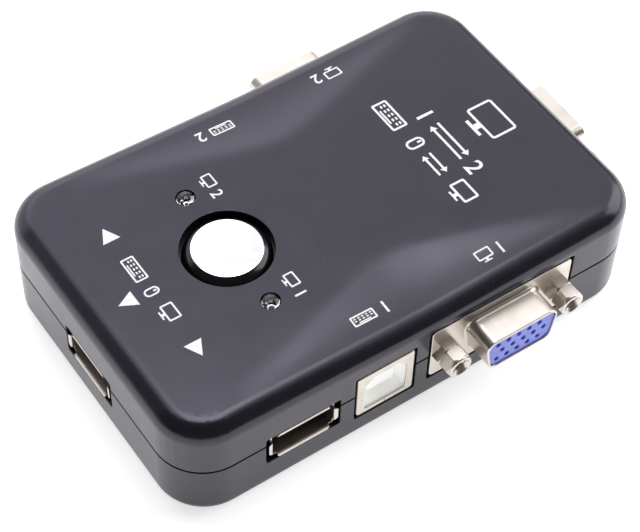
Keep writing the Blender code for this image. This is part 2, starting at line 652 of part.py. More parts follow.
def hole_places():
    """The fifteen contact holes of a video socket, in its local X and Z."""
    places = []
    for row in (-1, 0, 1):
        shift = VGA_HOLE_PITCH / 4 * (1 if row == 0 else -1)
        places += [(column * VGA_HOLE_PITCH + shift, row * VGA_ROW_PITCH) for column in range(-2, 3)]
    return places


def along_y(mesh_data):
    """Lays an upright turned shape down, so that its +Z end points along -Y."""
    turn = Matrix.Rotation(math.pi / 2, 3, "X")
    bmesh.ops.rotate(mesh_data, cent=(0, 0, 0), matrix=turn, verts=mesh_data.verts)
    return mesh_data


def bar_along_y(radius, start, end, centre, steps=12):
    """A round bar from start to end along Y, centred on a point in X and Z."""
    bar = along_y(cylinder(radius, -end, -start, steps=steps))
    bmesh.ops.translate(bar, vec=(centre[0], 0.0, centre[1]), verts=bar.verts)
    return bar


def rounded_outline(width, height, corner, steps=3):
    """A rectangle with round corners, in X and Z."""
    x, z = width / 2 - corner, height / 2 - corner
    quarter = math.pi / 2
    points = []
    for turn, centre in enumerate(((x, z), (-x, z), (-x, -z), (x, -z))):
        points += arc(centre, corner, turn * quarter, (turn + 1) * quarter, steps)
    return points


def make_vga(port, shell_material, insulator_material, screw_material):
    """One video socket: its plated shell, its insulator with fifteen holes and its two jackscrews."""
    name, frame = port.name, port.frame
    plate_back = VGA_FLANGE_THICKNESS
    plate = prism(rounded_outline(VGA_FLANGE_WIDTH, VGA_FLANGE_HEIGHT, VGA_FLANGE_CORNER), 0.0, plate_back)
    shell = add_object(f"{name}_shell", plate, shell_material, frame)
    nose = d_outline(VGA_NOSE_WIDTH, VGA_NOSE_HEIGHT, VGA_NOSE_CORNER, VGA_NOSE_LEAN)
    join(shell, add_object(f"{name}_nose_tool", prism(nose, -VGA_NOSE_LENGTH, plate_back / 2), parent=frame))
    wall = 2 * VGA_NOSE_WALL
    corner = VGA_NOSE_CORNER - VGA_NOSE_WALL
    bore = prism(
        d_outline(VGA_NOSE_WIDTH - wall, VGA_NOSE_HEIGHT - wall, corner, VGA_NOSE_LEAN),
        -VGA_NOSE_LENGTH - PAST, plate_back + PAST,
    )
    cut(shell, add_object(f"{name}_bore_tool", bore, parent=frame))
    stud_hole = JACKSCREW_STUD_RADIUS + GAP
    rear_start = plate_back + GAP
    rear_end = rear_start + VGA_REAR_DEPTH
    wall += 2 * VGA_INSULATOR_GAP
    plug = d_outline(
        VGA_NOSE_WIDTH - wall, VGA_NOSE_HEIGHT - wall, VGA_NOSE_CORNER - wall / 2, VGA_NOSE_LEAN,
    )
    face = -VGA_NOSE_LENGTH + VGA_FACE_RECESS
    plug = prism(plug, face, rear_start + PAST)
    insulator = add_object(f"{name}_insulator", plug, insulator_material, frame)
    half_width = VGA_FLANGE_WIDTH / 2 - VGA_REAR_SIDE_INSET
    floor, roof = BOARD_TOP + GAP - VGA_HEIGHT, VGA_FLANGE_HEIGHT / 2 - VGA_REAR_TOP_INSET
    rear = block((-half_width, rear_start, floor), (half_width, rear_end, roof))
    join(insulator, add_object(f"{name}_rear_tool", rear, parent=frame))
    for number, place in enumerate(hole_places(), 1):
        hole = bar_along_y(VGA_HOLE_RADIUS, face - PAST, face + VGA_HOLE_DEPTH, place, 6)
        cut(insulator, add_object(f"{name}_hole_tool_{number}", hole, parent=frame))
    for side_name, side in (("left", -1), ("right", 1)):
        x = side * VGA_SCREW_SPACING / 2
        clearance = bar_along_y(stud_hole, -PAST, rear_end + PAST, (x, 0.0))
        tool = add_object(f"{name}_{side_name}_stud_tool", clearance, parent=frame)
        cut(shell, tool)
        cut(insulator, tool)
        make_jackscrew(f"{name}_jackscrew_{side_name}", x, screw_material, frame)


def make_jackscrew(name, x, material, frame):
    """A hexagonal jackscrew with a turned front half, a threaded bore and a stud through the flange."""
    circumradius = JACKSCREW_ACROSS_FLATS / math.sqrt(3)
    hexagon = [(circumradius * math.cos(a), circumradius * math.sin(a)) for a in
               [math.radians(60 * corner) for corner in range(6)]]
    screw = add_object(name, prism(hexagon, -JACKSCREW_LENGTH, -GAP), material, frame)
    screw.location = (x, 0.0, 0.0)
    outside = circumradius + PAST
    length, step = JACKSCREW_LENGTH, JACKSCREW_LENGTH * (1 - JACKSCREW_TURNED_SHARE)
    face_radius = JACKSCREW_TURNED_RADIUS - JACKSCREW_CHAMFER
    ring = along_y(turned([
        (face_radius, length + PAST), (face_radius, length),
        (JACKSCREW_TURNED_RADIUS, length - JACKSCREW_CHAMFER), (JACKSCREW_TURNED_RADIUS, step),
        (outside, step), (outside, length + PAST), (face_radius, length + PAST),
    ], 12))
    cut(screw, add_object(f"{name}_ring_tool", ring, parent=screw))
    stud = bar_along_y(JACKSCREW_STUD_RADIUS, -PAST, JACKSCREW_STUD_LENGTH, (0.0, 0.0))
    join(screw, add_object(f"{name}_stud_tool", stud, parent=screw))
    bore = bar_along_y(JACKSCREW_BORE_RADIUS, -length - PAST, -length + JACKSCREW_BORE_DEPTH, (0.0, 0.0))
    cut(screw, add_object(f"{name}_bore_tool", bore, parent=screw))


def chamfered_mouth(width, tall, chamfer):
    """A mouth with its two upper corners cut off, in X and Z."""
    x, z = width / 2, tall / 2
    return [(x, -z), (x, z - chamfer), (x - chamfer, z), (-x + chamfer, z), (-x, z - chamfer), (-x, -z)]


def make_usb_b(port, shell_material, insulator_material):
    """One square socket: a folded steel box around a plastic body with a central tongue."""
    name, frame = port.name, port.frame
    outline = rounded_outline(USB_B_WIDTH, USB_B_TALL, USB_B_CORNER, 2)
    shell = add_object(f"{name}_shell", prism(outline, 0.0, USB_B_DEPTH), shell_material, frame)
    width, tall = USB_B_WIDTH - 2 * USB_B_SHEET, USB_B_TALL - 2 * USB_B_SHEET
    corner = USB_B_CORNER - USB_B_SHEET
    inside = prism(rounded_outline(width, tall, corner, 2), USB_B_SHEET, USB_B_DEPTH + PAST)
    margin = 2 * USB_B_FRAME_MARGIN
    opening = chamfered_mouth(USB_B_MOUTH_WIDTH + margin, USB_B_MOUTH_TALL + margin, USB_B_MOUTH_CHAMFER)
    cut(
        shell,
        add_object(f"{name}_inside_tool", inside, parent=frame),
        add_object(f"{name}_opening_tool", prism(opening, -PAST, USB_B_SHEET + PAST), parent=frame),
    )
    front, back = USB_B_SHEET + GAP, USB_B_DEPTH
    plastic = prism(rounded_outline(width - 2 * GAP, tall - 2 * GAP, corner, 2), front, back)
    body = add_object(f"{name}_insulator", plastic, insulator_material, frame)
    well_end = front + USB_B_MOUTH_DEPTH
    mouth = chamfered_mouth(USB_B_MOUTH_WIDTH, USB_B_MOUTH_TALL, USB_B_MOUTH_CHAMFER)
    well = add_object(f"{name}_well_tool", prism(mouth, front - PAST, well_end), parent=frame)
    x, z = USB_B_TONGUE_WIDTH / 2, USB_B_TONGUE_TALL / 2
    tongue = block((-x, USB_B_TONGUE_RECESS, -z), (x, well_end + PAST, z))
    cut(well, add_object(f"{name}_tongue_keeper", tongue, parent=frame))
    cut(body, well)


def make_usb_a(port, shell_material, insulator_material):
    """One flat socket: a steel tube with splayed lips around a plastic tongue."""
    name, frame = port.name, port.frame
    sheet = USB_A_SHEET
    x, z = USB_A_MOUTH_WIDTH / 2, USB_A_MOUTH_TALL / 2
    tube = block((-x - sheet, USB_A_LIP_LENGTH, -z - sheet), (x + sheet, USB_A_DEPTH, z + sheet))
    shell = add_object(f"{name}_shell", tube, shell_material, frame)
    relief = USB_A_LIP_CORNER_RELIEF
    for side, half_span, start in (("top", x, z), ("right", z, x), ("bottom", x, z), ("left", z, x)):
        turn = {"top": 0, "right": 1, "bottom": 2, "left": 3}[side] * math.pi / 2
        lip = lip_outline(half_span - relief, start, sheet)
        tool = add_object(f"{name}_{side}_lip_tool", lip, parent=frame)
        tool.rotation_euler.y = turn
        join(shell, tool)
    hollow = block((-x, -PAST, -z), (x, USB_A_DEPTH + PAST, z))
    cut(shell, add_object(f"{name}_hollow_tool", hollow, parent=frame))
    back = USB_A_DEPTH - USB_A_BACK_THICKNESS
    end = USB_A_DEPTH + USB_A_TAIL
    wall = block((-x + GAP, back, -z + GAP), (x - GAP, end, z - GAP))
    body = add_object(f"{name}_insulator", wall, insulator_material, frame)
    top = z - USB_A_TONGUE_DROP
    tongue = block(
        (-USB_A_TONGUE_WIDTH / 2, USB_A_TONGUE_RECESS, top - USB_A_TONGUE_TALL),
        (USB_A_TONGUE_WIDTH / 2, back + PAST, top),
    )
    floor, foot_top = BOARD_TOP + GAP - USB_A_HEIGHT, -z - sheet - GAP
    foot = block((-x, USB_A_FOOT_START, floor), (x, end, foot_top))
    tail = block((-x + PAST, USB_A_DEPTH + GAP, (floor + foot_top) / 2), (x - PAST, end - GAP, 0.0))
    join(
        body,
        add_object(f"{name}_tongue_tool", tongue, parent=frame),
        add_object(f"{name}_tail_tool", tail, parent=frame),
        add_object(f"{name}_foot_tool", foot, parent=frame),
    )


def lip_outline(half_span, start, sheet):
    """A lip above the mouth: it leaves the tube's front edge and leans outwards as it comes forward."""
    splay, taper = USB_A_LIP_SPLAY, USB_A_LIP_SPLAY * USB_A_LIP_TAPER
    root = USB_A_LIP_LENGTH + USB_A_LIP_ROOT
    lip = block((-half_span, 0.0, start), (half_span, root, start + sheet))
    lengthwise = [edge for edge in lip.edges if runs_along(edge, 1)]
    bmesh.ops.subdivide_edges(lip, edges=lengthwise, cuts=1)
    for vert in lip.verts:
        if vert.co.y < MERGE:
            vert.co.z += splay
            vert.co.x -= math.copysign(taper, vert.co.x)
        elif vert.co.y < root - MERGE:
            vert.co.y = USB_A_LIP_LENGTH
    return lip


def make_electronics(chip_material, can_material, sleeve_material):
    """The three chips, the crystal and the two capacitors in the middle of the board."""
    base = BOARD_TOP + GAP
    for number, (x, y) in enumerate(CHIP_PLACES, 1):
        half = CHIP_SIZE / 2
        chip = block((-half.x, -half.y, 0.0), (half.x, half.y, CHIP_SIZE.z))
        bevel_edges(chip, lambda edge: lies_at(edge, 2, CHIP_SIZE.z), CHIP_BEVEL, 1)
        add_object(f"chip_{number}", chip, chip_material).location = (x * MM, y * MM, base)
    half = CRYSTAL_SIZE / 2
    crystal = block((-half.x, -half.y, 0.0), (half.x, half.y, CRYSTAL_SIZE.z))
    bevel_edges(crystal, lambda edge: runs_along(edge, 2), half.y * CRYSTAL_END_ROUNDING, 5)
    bevel_edges(crystal, lambda edge: lies_at(edge, 2, CRYSTAL_SIZE.z), CRYSTAL_TOP_RADIUS, 2)
    x, y = CRYSTAL_PLACE
    add_object("crystal", crystal, can_material).location = (x * MM, y * MM, base)
    radius, groove, half_groove = CAPACITOR_RADIUS, CAPACITOR_GROOVE_HEIGHT, CAPACITOR_GROOVE_WIDTH / 2
    profile = [
        (0.0, 0.0), (radius, 0.0), (radius, groove - half_groove),
        (radius - CAPACITOR_GROOVE_DEPTH, groove), (radius, groove + half_groove),
        (radius, CAPACITOR_HEIGHT - CAPACITOR_SHOULDER.y),
        (radius - CAPACITOR_SHOULDER.x, CAPACITOR_HEIGHT), (0.0, CAPACITOR_HEIGHT),
    ]
    for number, (x, y) in enumerate(CAPACITOR_PLACES, 1):
        can = add_object(f"capacitor_{number}", turned(profile, 14), sleeve_material)
        can.location = (x * MM, y * MM, base)


def build():
    """Makes every piece of the switch box."""
    remove_everything()
    case = finish("case plastic", (0.085, 0.083, 0.095), 0.42)
    nickel = finish("nickel plate", (0.78, 0.74, 0.70), 0.22, 1.0)
    chrome = finish("chrome", (0.9, 0.9, 0.91), 0.06, 1.0)
    blue = finish("blue insulator", (0.16, 0.19, 0.62), 0.4)
    white = finish("white insulator", (0.82, 0.84, 0.82), 0.4)
    black = finish("black plastic", (0.02, 0.02, 0.022), 0.45)
    steel = finish("zinc steel", (0.6, 0.6, 0.6), 0.3, 1.0)
    fibreglass = finish("green board", (0.02, 0.18, 0.07), 0.4)
    clear = finish("clear resin", (0.9, 0.92, 0.94), 0.05, alpha=0.4)

    vga, usb_b, usb_a = make_ports()
    windows = make_windows(vga, usb_b, usb_a)
    make_top_cover(case, windows)
    make_bottom_cover(case, windows)
    make_screws(steel)
    make_board(fibreglass)
    flange_low = make_button(chrome, black)
    make_spring(steel, flange_low)
    make_switch(black, white)
    make_lamps(clear)
    for port in vga:
        make_vga(port, nickel, blue, nickel)
    for port in usb_b:
        make_usb_b(port, nickel, white)
    for port in usb_a:
        make_usb_a(port, nickel, black)
    make_electronics(black, steel, black)


build()
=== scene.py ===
"""Looks of a two-computer KVM switch box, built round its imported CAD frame.

The case is charcoal moulded plastic with a scooped top, white printed pictograms, a plated selector
button, two clear lamps, and nickel-plated sockets on three sides. Each sub-assembly is a class that
takes its place from the frame, models its pieces with bmesh operators and dresses them.

Units are metres. +X runs towards the monitor socket, -Y is the side of computer 1, +Z is up.
"""

from __future__ import annotations

import json
import logging
import math
from dataclasses import dataclass, field
from enum import Enum
from typing import Callable, Iterable, Sequence

import bmesh
import bpy
from mathutils import Matrix, Vector

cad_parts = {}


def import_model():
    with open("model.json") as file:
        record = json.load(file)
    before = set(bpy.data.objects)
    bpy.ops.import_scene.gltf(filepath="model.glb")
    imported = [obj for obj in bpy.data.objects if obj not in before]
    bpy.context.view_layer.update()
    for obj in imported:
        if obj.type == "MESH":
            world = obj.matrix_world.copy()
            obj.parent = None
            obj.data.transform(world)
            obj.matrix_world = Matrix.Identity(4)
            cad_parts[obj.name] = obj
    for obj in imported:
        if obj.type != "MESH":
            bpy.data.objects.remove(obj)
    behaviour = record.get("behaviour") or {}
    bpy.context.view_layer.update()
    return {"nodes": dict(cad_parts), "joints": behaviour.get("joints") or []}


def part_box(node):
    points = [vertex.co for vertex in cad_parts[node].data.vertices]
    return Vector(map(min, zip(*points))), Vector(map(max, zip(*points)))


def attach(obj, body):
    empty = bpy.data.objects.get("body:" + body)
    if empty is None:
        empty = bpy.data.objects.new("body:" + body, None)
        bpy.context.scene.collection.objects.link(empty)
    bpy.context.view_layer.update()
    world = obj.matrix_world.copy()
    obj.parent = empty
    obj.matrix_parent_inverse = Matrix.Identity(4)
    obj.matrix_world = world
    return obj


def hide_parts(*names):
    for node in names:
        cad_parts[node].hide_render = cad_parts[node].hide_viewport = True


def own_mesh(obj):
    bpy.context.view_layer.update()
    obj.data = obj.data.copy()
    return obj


LOG = logging.getLogger("kvm_switch")
MM = 0.001
Colour = tuple[float, float, float]
Point2 = tuple[float, float]


# ---------------------------------------------------------------------------------------------
# Shader maths
# ---------------------------------------------------------------------------------------------


class Wire:
    """A value socket that can be used in a Python expression; each operator adds one Math node."""

    def __init__(self, graph: "Graph", socket: bpy.types.NodeSocket) -> None:
        """Wraps an output socket of the graph."""
        self.graph = graph
        self.socket = socket

    def _math(self, operation: str, *values: "Wire | float") -> "Wire":
        """Adds a Math node of that operation."""
        return self.graph.add("ShaderNodeMath", {"operation": operation}, *values)

    def __add__(self, other: "Wire | float") -> "Wire":
        """self + other."""
        return self._math("ADD", self, other)

    __radd__ = __add__

    def __sub__(self, other: "Wire | float") -> "Wire":
        """self - other."""
        return self._math("SUBTRACT", self, other)

    def __rsub__(self, other: float) -> "Wire":
        """other - self."""
        return self._math("SUBTRACT", other, self)

    def __mul__(self, other: "Wire | float") -> "Wire":
        """self * other."""
        return self._math("MULTIPLY", self, other)

    def ramp(self, low: float, high: float) -> "Wire":
        """Rises smoothly from 0 at low to 1 at high."""
        settings = {"interpolation_type": "SMOOTHSTEP"}
        return self.graph.add("ShaderNodeMapRange", settings, self, low, high, 0.0, 1.0)


class Graph:
    """The node tree of one material, with its Principled shader, or of the surround."""

    def __init__(self, name: str, world: bool = False) -> None:
        """Makes a material of that name, or a world with its background shader."""
        self.owner = (bpy.data.worlds if world else bpy.data.materials).new(name)
        self.owner.use_nodes = True
        self.tree = self.owner.node_tree
        self.shader = self.tree.nodes["Background" if world else "Principled BSDF"]
        self.space = self.add("ShaderNodeTexCoord", {}, output="Generated" if world else "Object")

    def add(
        self, kind: str, settings: dict[str, object], *values: object, output: str | int = 0, **named: object,
    ) -> Wire:
        """Adds a node.

        Args:
            kind: the node's type.
            settings: its own properties, such as a Math node's operation; they are set first.
            values: numbers, vectors or wires for its first sockets, in order.
            output: the name or number of the socket to return.
            named: values for sockets by name, with spaces written as underscores.

        Returns:
            The chosen output socket.
        """
        node = self.tree.nodes.new(kind)
        for key, value in settings.items():
            setattr(node, key, value)
        for socket, value in zip(node.inputs, values):
            self.feed(socket, value)
        for name, value in named.items():
            self.feed(node.inputs[name.replace("_", " ")], value)
        return Wire(self, node.outputs[output])

    def feed(self, socket: bpy.types.NodeSocket, value: object) -> None:
        """Links a wire to a socket, or sets the socket's own value."""
        if isinstance(value, Wire):
            self.tree.links.new(value.socket, socket)
        else:
            socket.default_value = value

    def set(self, **named: object) -> None:
        """Feeds the shader's sockets, with spaces in their names written as underscores."""
        for name, value in named.items():
            self.feed(self.shader.inputs[name.replace("_", " ")], value)

    def noise(self, scale: float, detail: float = 2.0, roughness: float = 0.5) -> Wire:
        """A noise value from 0 to 1; scale is in cells per metre."""
        return self.add(
            "ShaderNodeTexNoise", {}, Vector=self.space, Scale=scale, Detail=detail, Roughness=roughness,
        )

    def cells(self, scale: float) -> Wire:
        """The distance to the nearest of a field of scattered points."""
        return self.add("ShaderNodeTexVoronoi", {"feature": "F1"}, Vector=self.space, Scale=scale)

    def mix(self, share: Wire | float, first: object, second: object) -> Wire:
        """Blends two colours."""
        node = self.tree.nodes.new("ShaderNodeMix")
        node.data_type = "RGBA"
        self.feed(node.inputs[0], share)
        self.feed(node.inputs[6], first)
        self.feed(node.inputs[7], second)
        return Wire(self, node.outputs[2])

    def bump(self, height: Wire, distance: float) -> None:
        """Lets a height pattern tilt the surface."""
        self.set(Normal=self.add("ShaderNodeBump", {}, Height=height, Distance=distance, Strength=1.0))


def rgba(colour: Colour, gain: float = 1.0) -> tuple[float, float, float, float]:
    """A colour with full opacity, brightened by a gain."""
    return (colour[0] * gain, colour[1] * gain, colour[2] * gain, 1.0)


# ---------------------------------------------------------------------------------------------
# Finishes
# ---------------------------------------------------------------------------------------------


@dataclass(frozen=True)
class MouldedPlastic:
    """Spark-textured plastic: a fine even grain, faint cloudy tone, and a few specks of dust."""

    name: str
    colour: Colour
    roughness: float = 0.42
    grain: float = 5200.0
    grain_depth: float = 0.000012
    cloud: float = 0.12
    dust: float = 0.0
    specular: float = 0.5
    tint: Colour = (1.0, 1.0, 1.0)

    def build(self) -> bpy.types.Material:
        """Makes the material."""
        graph = Graph(self.name)
        tone = graph.noise(45.0, 4.0, 0.6)
        dark, light = rgba(self.colour, 1 - self.cloud), rgba(self.colour, 1 + self.cloud)
        colour = graph.mix(tone.ramp(0.3, 0.7), dark, light)
        if self.dust:
            specks = (1 - graph.cells(330.0).ramp(0.015, 0.05)) * graph.noise(75.0).ramp(0.5, 0.64)
            colour = graph.mix(specks * self.dust, colour, (0.6, 0.58, 0.56, 1.0))
        grain = graph.noise(self.grain, 2.0, 0.6)
        roughness = self.roughness + (graph.noise(160.0, 3.0) - 0.5) * 0.12 + (grain - 0.5) * 0.08
        graph.set(Base_Color=colour, Roughness=roughness)
        graph.set(Specular_IOR_Level=self.specular, Specular_Tint=rgba(self.tint))
        graph.bump(grain, self.grain_depth)
        return graph.owner


@dataclass(frozen=True)
class Plating:
    """Bright metal plate on steel or plastic: faint clouding, fine rolling marks and small scuffs."""

    name: str
    colour: Colour
    roughness: float = 0.18
    rolling: float = 0.0
    scuffs: float = 0.5

    def build(self) -> bpy.types.Material:
        """Makes the material."""
        graph = Graph(self.name)
        cloud = graph.noise(260.0, 3.0, 0.6)
        stain = graph.noise(900.0, 4.0, 0.7)
        colour = graph.mix(cloud.ramp(0.35, 0.75), rgba(self.colour), rgba(self.colour, 0.86))
        scuff = stain.ramp(0.55, 0.8) * self.scuffs
        roughness = self.roughness + cloud * 0.06 + scuff * 0.16
        graph.set(Base_Color=colour, Metallic=1.0, Roughness=roughness)
        height = stain * 0.4
        if self.rolling:
            stretch = graph.add("ShaderNodeMapping", {}, Vector=graph.space, Scale=(400.0, 400.0, 9000.0))
            lines = graph.add("ShaderNodeTexNoise", {}, Vector=stretch, Scale=1.0, Detail=2.0)
            height = height + lines * self.rolling
        graph.bump(height, 0.000006)
        return graph.owner


@dataclass(frozen=True)
class Insulator:
    """Smooth moulded insulator resin, a little translucent, with faint flow marks; its light setting is a
    painted glow, an emission that stands in for light scattered through the resin.
    """

    name: str
    colour: Colour
    roughness: float = 0.3
    glow: float = 0.0
    # painted glow: emission strength that stands in for light scattered through the resin; the part is no
    # lamp
    light: float = 0.0

    def build(self) -> bpy.types.Material:
        """Makes the material."""
        graph = Graph(self.name)
        flow = graph.noise(380.0, 3.0, 0.6)
        colour = graph.mix(flow.ramp(0.3, 0.75), rgba(self.colour, 0.9), rgba(self.colour, 1.06))
        # The emission here is painted glow, standing in for light scattered through the translucent resin.
        graph.set(
            Base_Color=colour, Roughness=self.roughness + (flow - 0.5) * 0.1,
            Subsurface_Weight=self.glow, Subsurface_Scale=0.0015, Subsurface_Radius=(1.0, 1.0, 1.0),
            Emission_Color=rgba(self.colour), Emission_Strength=self.light,
        )
        graph.bump(graph.noise(3500.0, 2.0), 0.000006)
        return graph.owner


@dataclass(frozen=True)
class PadPrint:
    """White pad-printed ink, slightly thin and uneven where it lies on the grain."""

    name: str = "white_print"
    colour: Colour = (0.96, 0.96, 0.955)

    def build(self) -> bpy.types.Material:
        """Makes the material."""
        graph = Graph(self.name)
        wear = graph.noise(2600.0, 3.0, 0.7).ramp(0.25, 0.5)
        colour = graph.mix(wear, rgba(self.colour, 0.82), rgba(self.colour))
        graph.set(Base_Color=colour, Roughness=0.5 + wear * 0.1)
        graph.bump(graph.noise(5200.0, 2.0), 0.00001)
        return graph.owner


@dataclass(frozen=True)
class ClearResin:
    """Water-clear lamp resin."""

    name: str = "lamp_resin"

    def build(self) -> bpy.types.Material:
        """Makes the material."""
        graph = Graph(self.name)
        haze = graph.noise(700.0, 2.0)
        graph.set(
            Base_Color=(0.97, 0.98, 1.0, 1.0), Roughness=0.02 + haze * 0.03,
            Transmission_Weight=1.0, IOR=1.5,
        )
        return graph.owner


@dataclass(frozen=True)
class BoardMask:
    """Green solder mask over copper tracks, with the tracks faintly lighter."""

    name: str = "board_mask"

    def build(self) -> bpy.types.Material:
        """Makes the material."""
        graph = Graph(self.name)
        tracks = graph.add(
            "ShaderNodeTexBrick", {"offset": 0.35}, Vector=graph.space, Scale=260.0,
            Mortar_Size=0.03, output="Fac",
        )
        tone = graph.noise(120.0, 3.0)
        base = graph.mix(tone, (0.006, 0.10, 0.04, 1.0), (0.01, 0.14, 0.055, 1.0))
        graph.set(Base_Color=graph.mix(tracks, base, (0.03, 0.26, 0.09, 1.0)), Roughness=0.28 + tone * 0.1)
        graph.bump(tracks, 0.00003)
        return graph.owner


MADE: dict[str, bpy.types.Material] = {}


class Finish(Enum):
    """Every finish on the object."""

    CASE = MouldedPlastic(
        "charcoal_grain", (0.0095, 0.009, 0.012), 0.24, grain_depth=0.000004, dust=0.16, specular=0.62,
        tint=(0.86, 0.83, 1.0),
    )
    BLACK = MouldedPlastic("black_moulding", (0.014, 0.014, 0.016), 0.4, grain=3500.0)
    # Near-black gloss, used only for the button's ring: partly the real bezel, partly painted shade for the
    # gap round the disc.
    GLOSS = MouldedPlastic("black_gloss_painted_shade", (0.004, 0.004, 0.005), 0.2, grain_depth=0.000001)
    NICKEL = Plating("nickel_plate", (0.68, 0.63, 0.57), 0.27, rolling=0.4)
    CHROME = Plating("bright_chrome", (0.93, 0.93, 0.94), 0.05, scuffs=0.15)
    GOLD = Plating("gold_contact", (0.90, 0.66, 0.30), 0.2)
    ZINC = Plating("zinc_steel", (0.62, 0.62, 0.63), 0.28)
    BLUE = Insulator("socket_blue", (0.19, 0.235, 0.80), 0.32, glow=0.05)
    # light=0.2 is painted glow: emission that stands in for light scattered through the white resin; the
    # switch plunger shares it.
    WHITE = Insulator("socket_white", (0.94, 0.955, 0.94), 0.3, glow=0.4, light=0.2)
    PRINT = PadPrint()
    RESIN = ClearResin()
    BOARD = BoardMask()
    SLEEVE = MouldedPlastic(
        "capacitor_sleeve", (0.02, 0.02, 0.05), 0.3, grain=2500.0, grain_depth=0.000004,
    )

    @property
    def material(self) -> bpy.types.Material:
        """The finish's material, made when it is first asked for."""
        if self.name not in MADE:
            MADE[self.name] = self.value.build()
        return MADE[self.name]


# ---------------------------------------------------------------------------------------------
# Modelling
# ---------------------------------------------------------------------------------------------


class Way(Enum):
    """How a Boolean joins two shapes."""

    CUT = "DIFFERENCE"
    JOIN = "UNION"
    KEEP = "INTERSECT"


def block(low: Sequence[float], high: Sequence[float]) -> bmesh.types.BMesh:
    """A box between two corners."""
    low, high = Vector(low), Vector(high)
    place = Matrix.Translation((low + high) / 2) @ Matrix.Diagonal((*(high - low), 1.0))
    shape = bmesh.new()
    bmesh.ops.create_cube(shape, size=1.0, matrix=place)
    return shape


def bevel(
    shape: bmesh.types.BMesh, chosen: Callable[[bmesh.types.BMEdge], bool], radius: float, segments: int,
) -> bmesh.types.BMesh:
    """Rounds the edges that chosen picks, and returns the shape."""
    bmesh.ops.bevel(
        shape, geom=[edge for edge in shape.edges if chosen(edge)], offset=radius, segments=segments,
        profile=0.5, affect="EDGES", clamp_overlap=True, material=-1,
    )
    return shape


def along(axis: int) -> Callable[[bmesh.types.BMEdge], bool]:
    """Picks edges that are parallel to an axis."""
    return lambda edge: abs((edge.verts[1].co - edge.verts[0].co).normalized()[axis]) > 0.999


def at_level(axis: int, *levels: float) -> Callable[[bmesh.types.BMEdge], bool]:
    """Picks edges that lie in a plane across an axis, at any of the levels."""
    return lambda edge: any(all(abs(v.co[axis] - level) < 1e-6 for v in edge.verts) for level in levels)


def sharp(angle: float = 30.0) -> Callable[[bmesh.types.BMEdge], bool]:
    """Picks edges where the surface turns by more than an angle in degrees."""
    limit = math.radians(angle)
    return lambda edge: len(edge.link_faces) == 2 and edge.calc_face_angle(0.0) > limit


def arc(centre: Point2, radius: float, start: float, end: float, steps: int) -> list[Point2]:
    """Points along an arc, both ends included; angles are in degrees."""
    turn = [math.radians(start + (end - start) * step / steps) for step in range(steps + 1)]
    return [(centre[0] + radius * math.cos(a), centre[1] + radius * math.sin(a)) for a in turn]


def rounded_rectangle(width: float, height: float, corner: float, steps: int = 8) -> list[Point2]:
    """An outline with round corners, anticlockwise."""
    x, z = width / 2 - corner, height / 2 - corner
    points: list[Point2] = []
    for turn, centre in enumerate(((x, z), (-x, z), (-x, -z), (x, -z))):
        points += arc(centre, corner, 90.0 * turn, 90.0 * (turn + 1), steps)
    return points


def fresh_verts(grown: dict[str, list]) -> list[bmesh.types.BMVert]:
    """The new points among what an extrusion made."""
    return [item for item in grown["geom"] if isinstance(item, bmesh.types.BMVert)]


def ribbon(line: Sequence[Point2], start: float, width: float) -> bmesh.types.BMesh:
    """A sheet without thickness: a line in Y and Z, drawn out along X from start."""
    strip = bmesh.new()
    points = [strip.verts.new((start, y, z)) for y, z in line]
    edges = [strip.edges.new(pair) for pair in zip(points, points[1:])]
    grown = bmesh.ops.extrude_edge_only(strip, edges=edges)
    bmesh.ops.translate(strip, vec=(width, 0.0, 0.0), verts=fresh_verts(grown))
    return strip


def prism(outline: Iterable[Point2], start: float, end: float) -> bmesh.types.BMesh:
    """An outline in X and Z, extruded along Y from start to end."""
    shape = bmesh.new()
    face = shape.faces.new([shape.verts.new((x, start, z)) for x, z in outline])
    grown = bmesh.ops.extrude_face_region(shape, geom=[face])
    bmesh.ops.translate(shape, vec=(0.0, end - start, 0.0), verts=fresh_verts(grown))
    bmesh.ops.recalc_face_normals(shape, faces=shape.faces)
    return shape


def turned(profile: Sequence[Point2], steps: int = 48) -> bmesh.types.BMesh:
    """Spins a profile of (radius, height) points about +Z; its ends lie on the axis."""
    shape = bmesh.new()
    points = [shape.verts.new((radius, 0.0, height)) for radius, height in profile]
    edges = [shape.edges.new(pair) for pair in zip(points, points[1:])]
    bmesh.ops.spin(
        shape, geom=points + edges, cent=(0, 0, 0), axis=(0, 0, 1), angle=math.tau, steps=steps,
        use_merge=True,
    )
    bmesh.ops.remove_doubles(shape, verts=shape.verts, dist=1e-7)
    bmesh.ops.recalc_face_normals(shape, faces=shape.faces)
    return shape


def bar(radius: float, low: float, high: float, steps: int = 32) -> bmesh.types.BMesh:
    """An upright round bar on the Z axis."""
    return turned([(0.0, low), (radius, low), (radius, high), (0.0, high)], steps)


def moved(shape: bmesh.types.BMesh, matrix: Matrix) -> bmesh.types.BMesh:
    """Moves a shape, and returns it."""
    bmesh.ops.transform(shape, matrix=matrix, verts=shape.verts)
    return shape


def shifted(shape: bmesh.types.BMesh, x: float = 0.0, y: float = 0.0, z: float = 0.0) -> bmesh.types.BMesh:
    """Slides a shape, and returns it."""
    return moved(shape, Matrix.Translation((x, y, z)))


FACE_FRONT = Matrix.Rotation(math.pi / 2, 4, "X")  # lays an upright shape down, its top towards -Y


def merged(shapes: Iterable[bmesh.types.BMesh]) -> bmesh.types.BMesh:
    """Puts several shapes into one, without fusing them."""
    whole = bmesh.new()
    for shape in shapes:
        spare = bpy.data.meshes.new("spare")
        shape.to_mesh(spare)
        shape.free()
        whole.from_mesh(spare)
        bpy.data.meshes.remove(spare)
    return whole


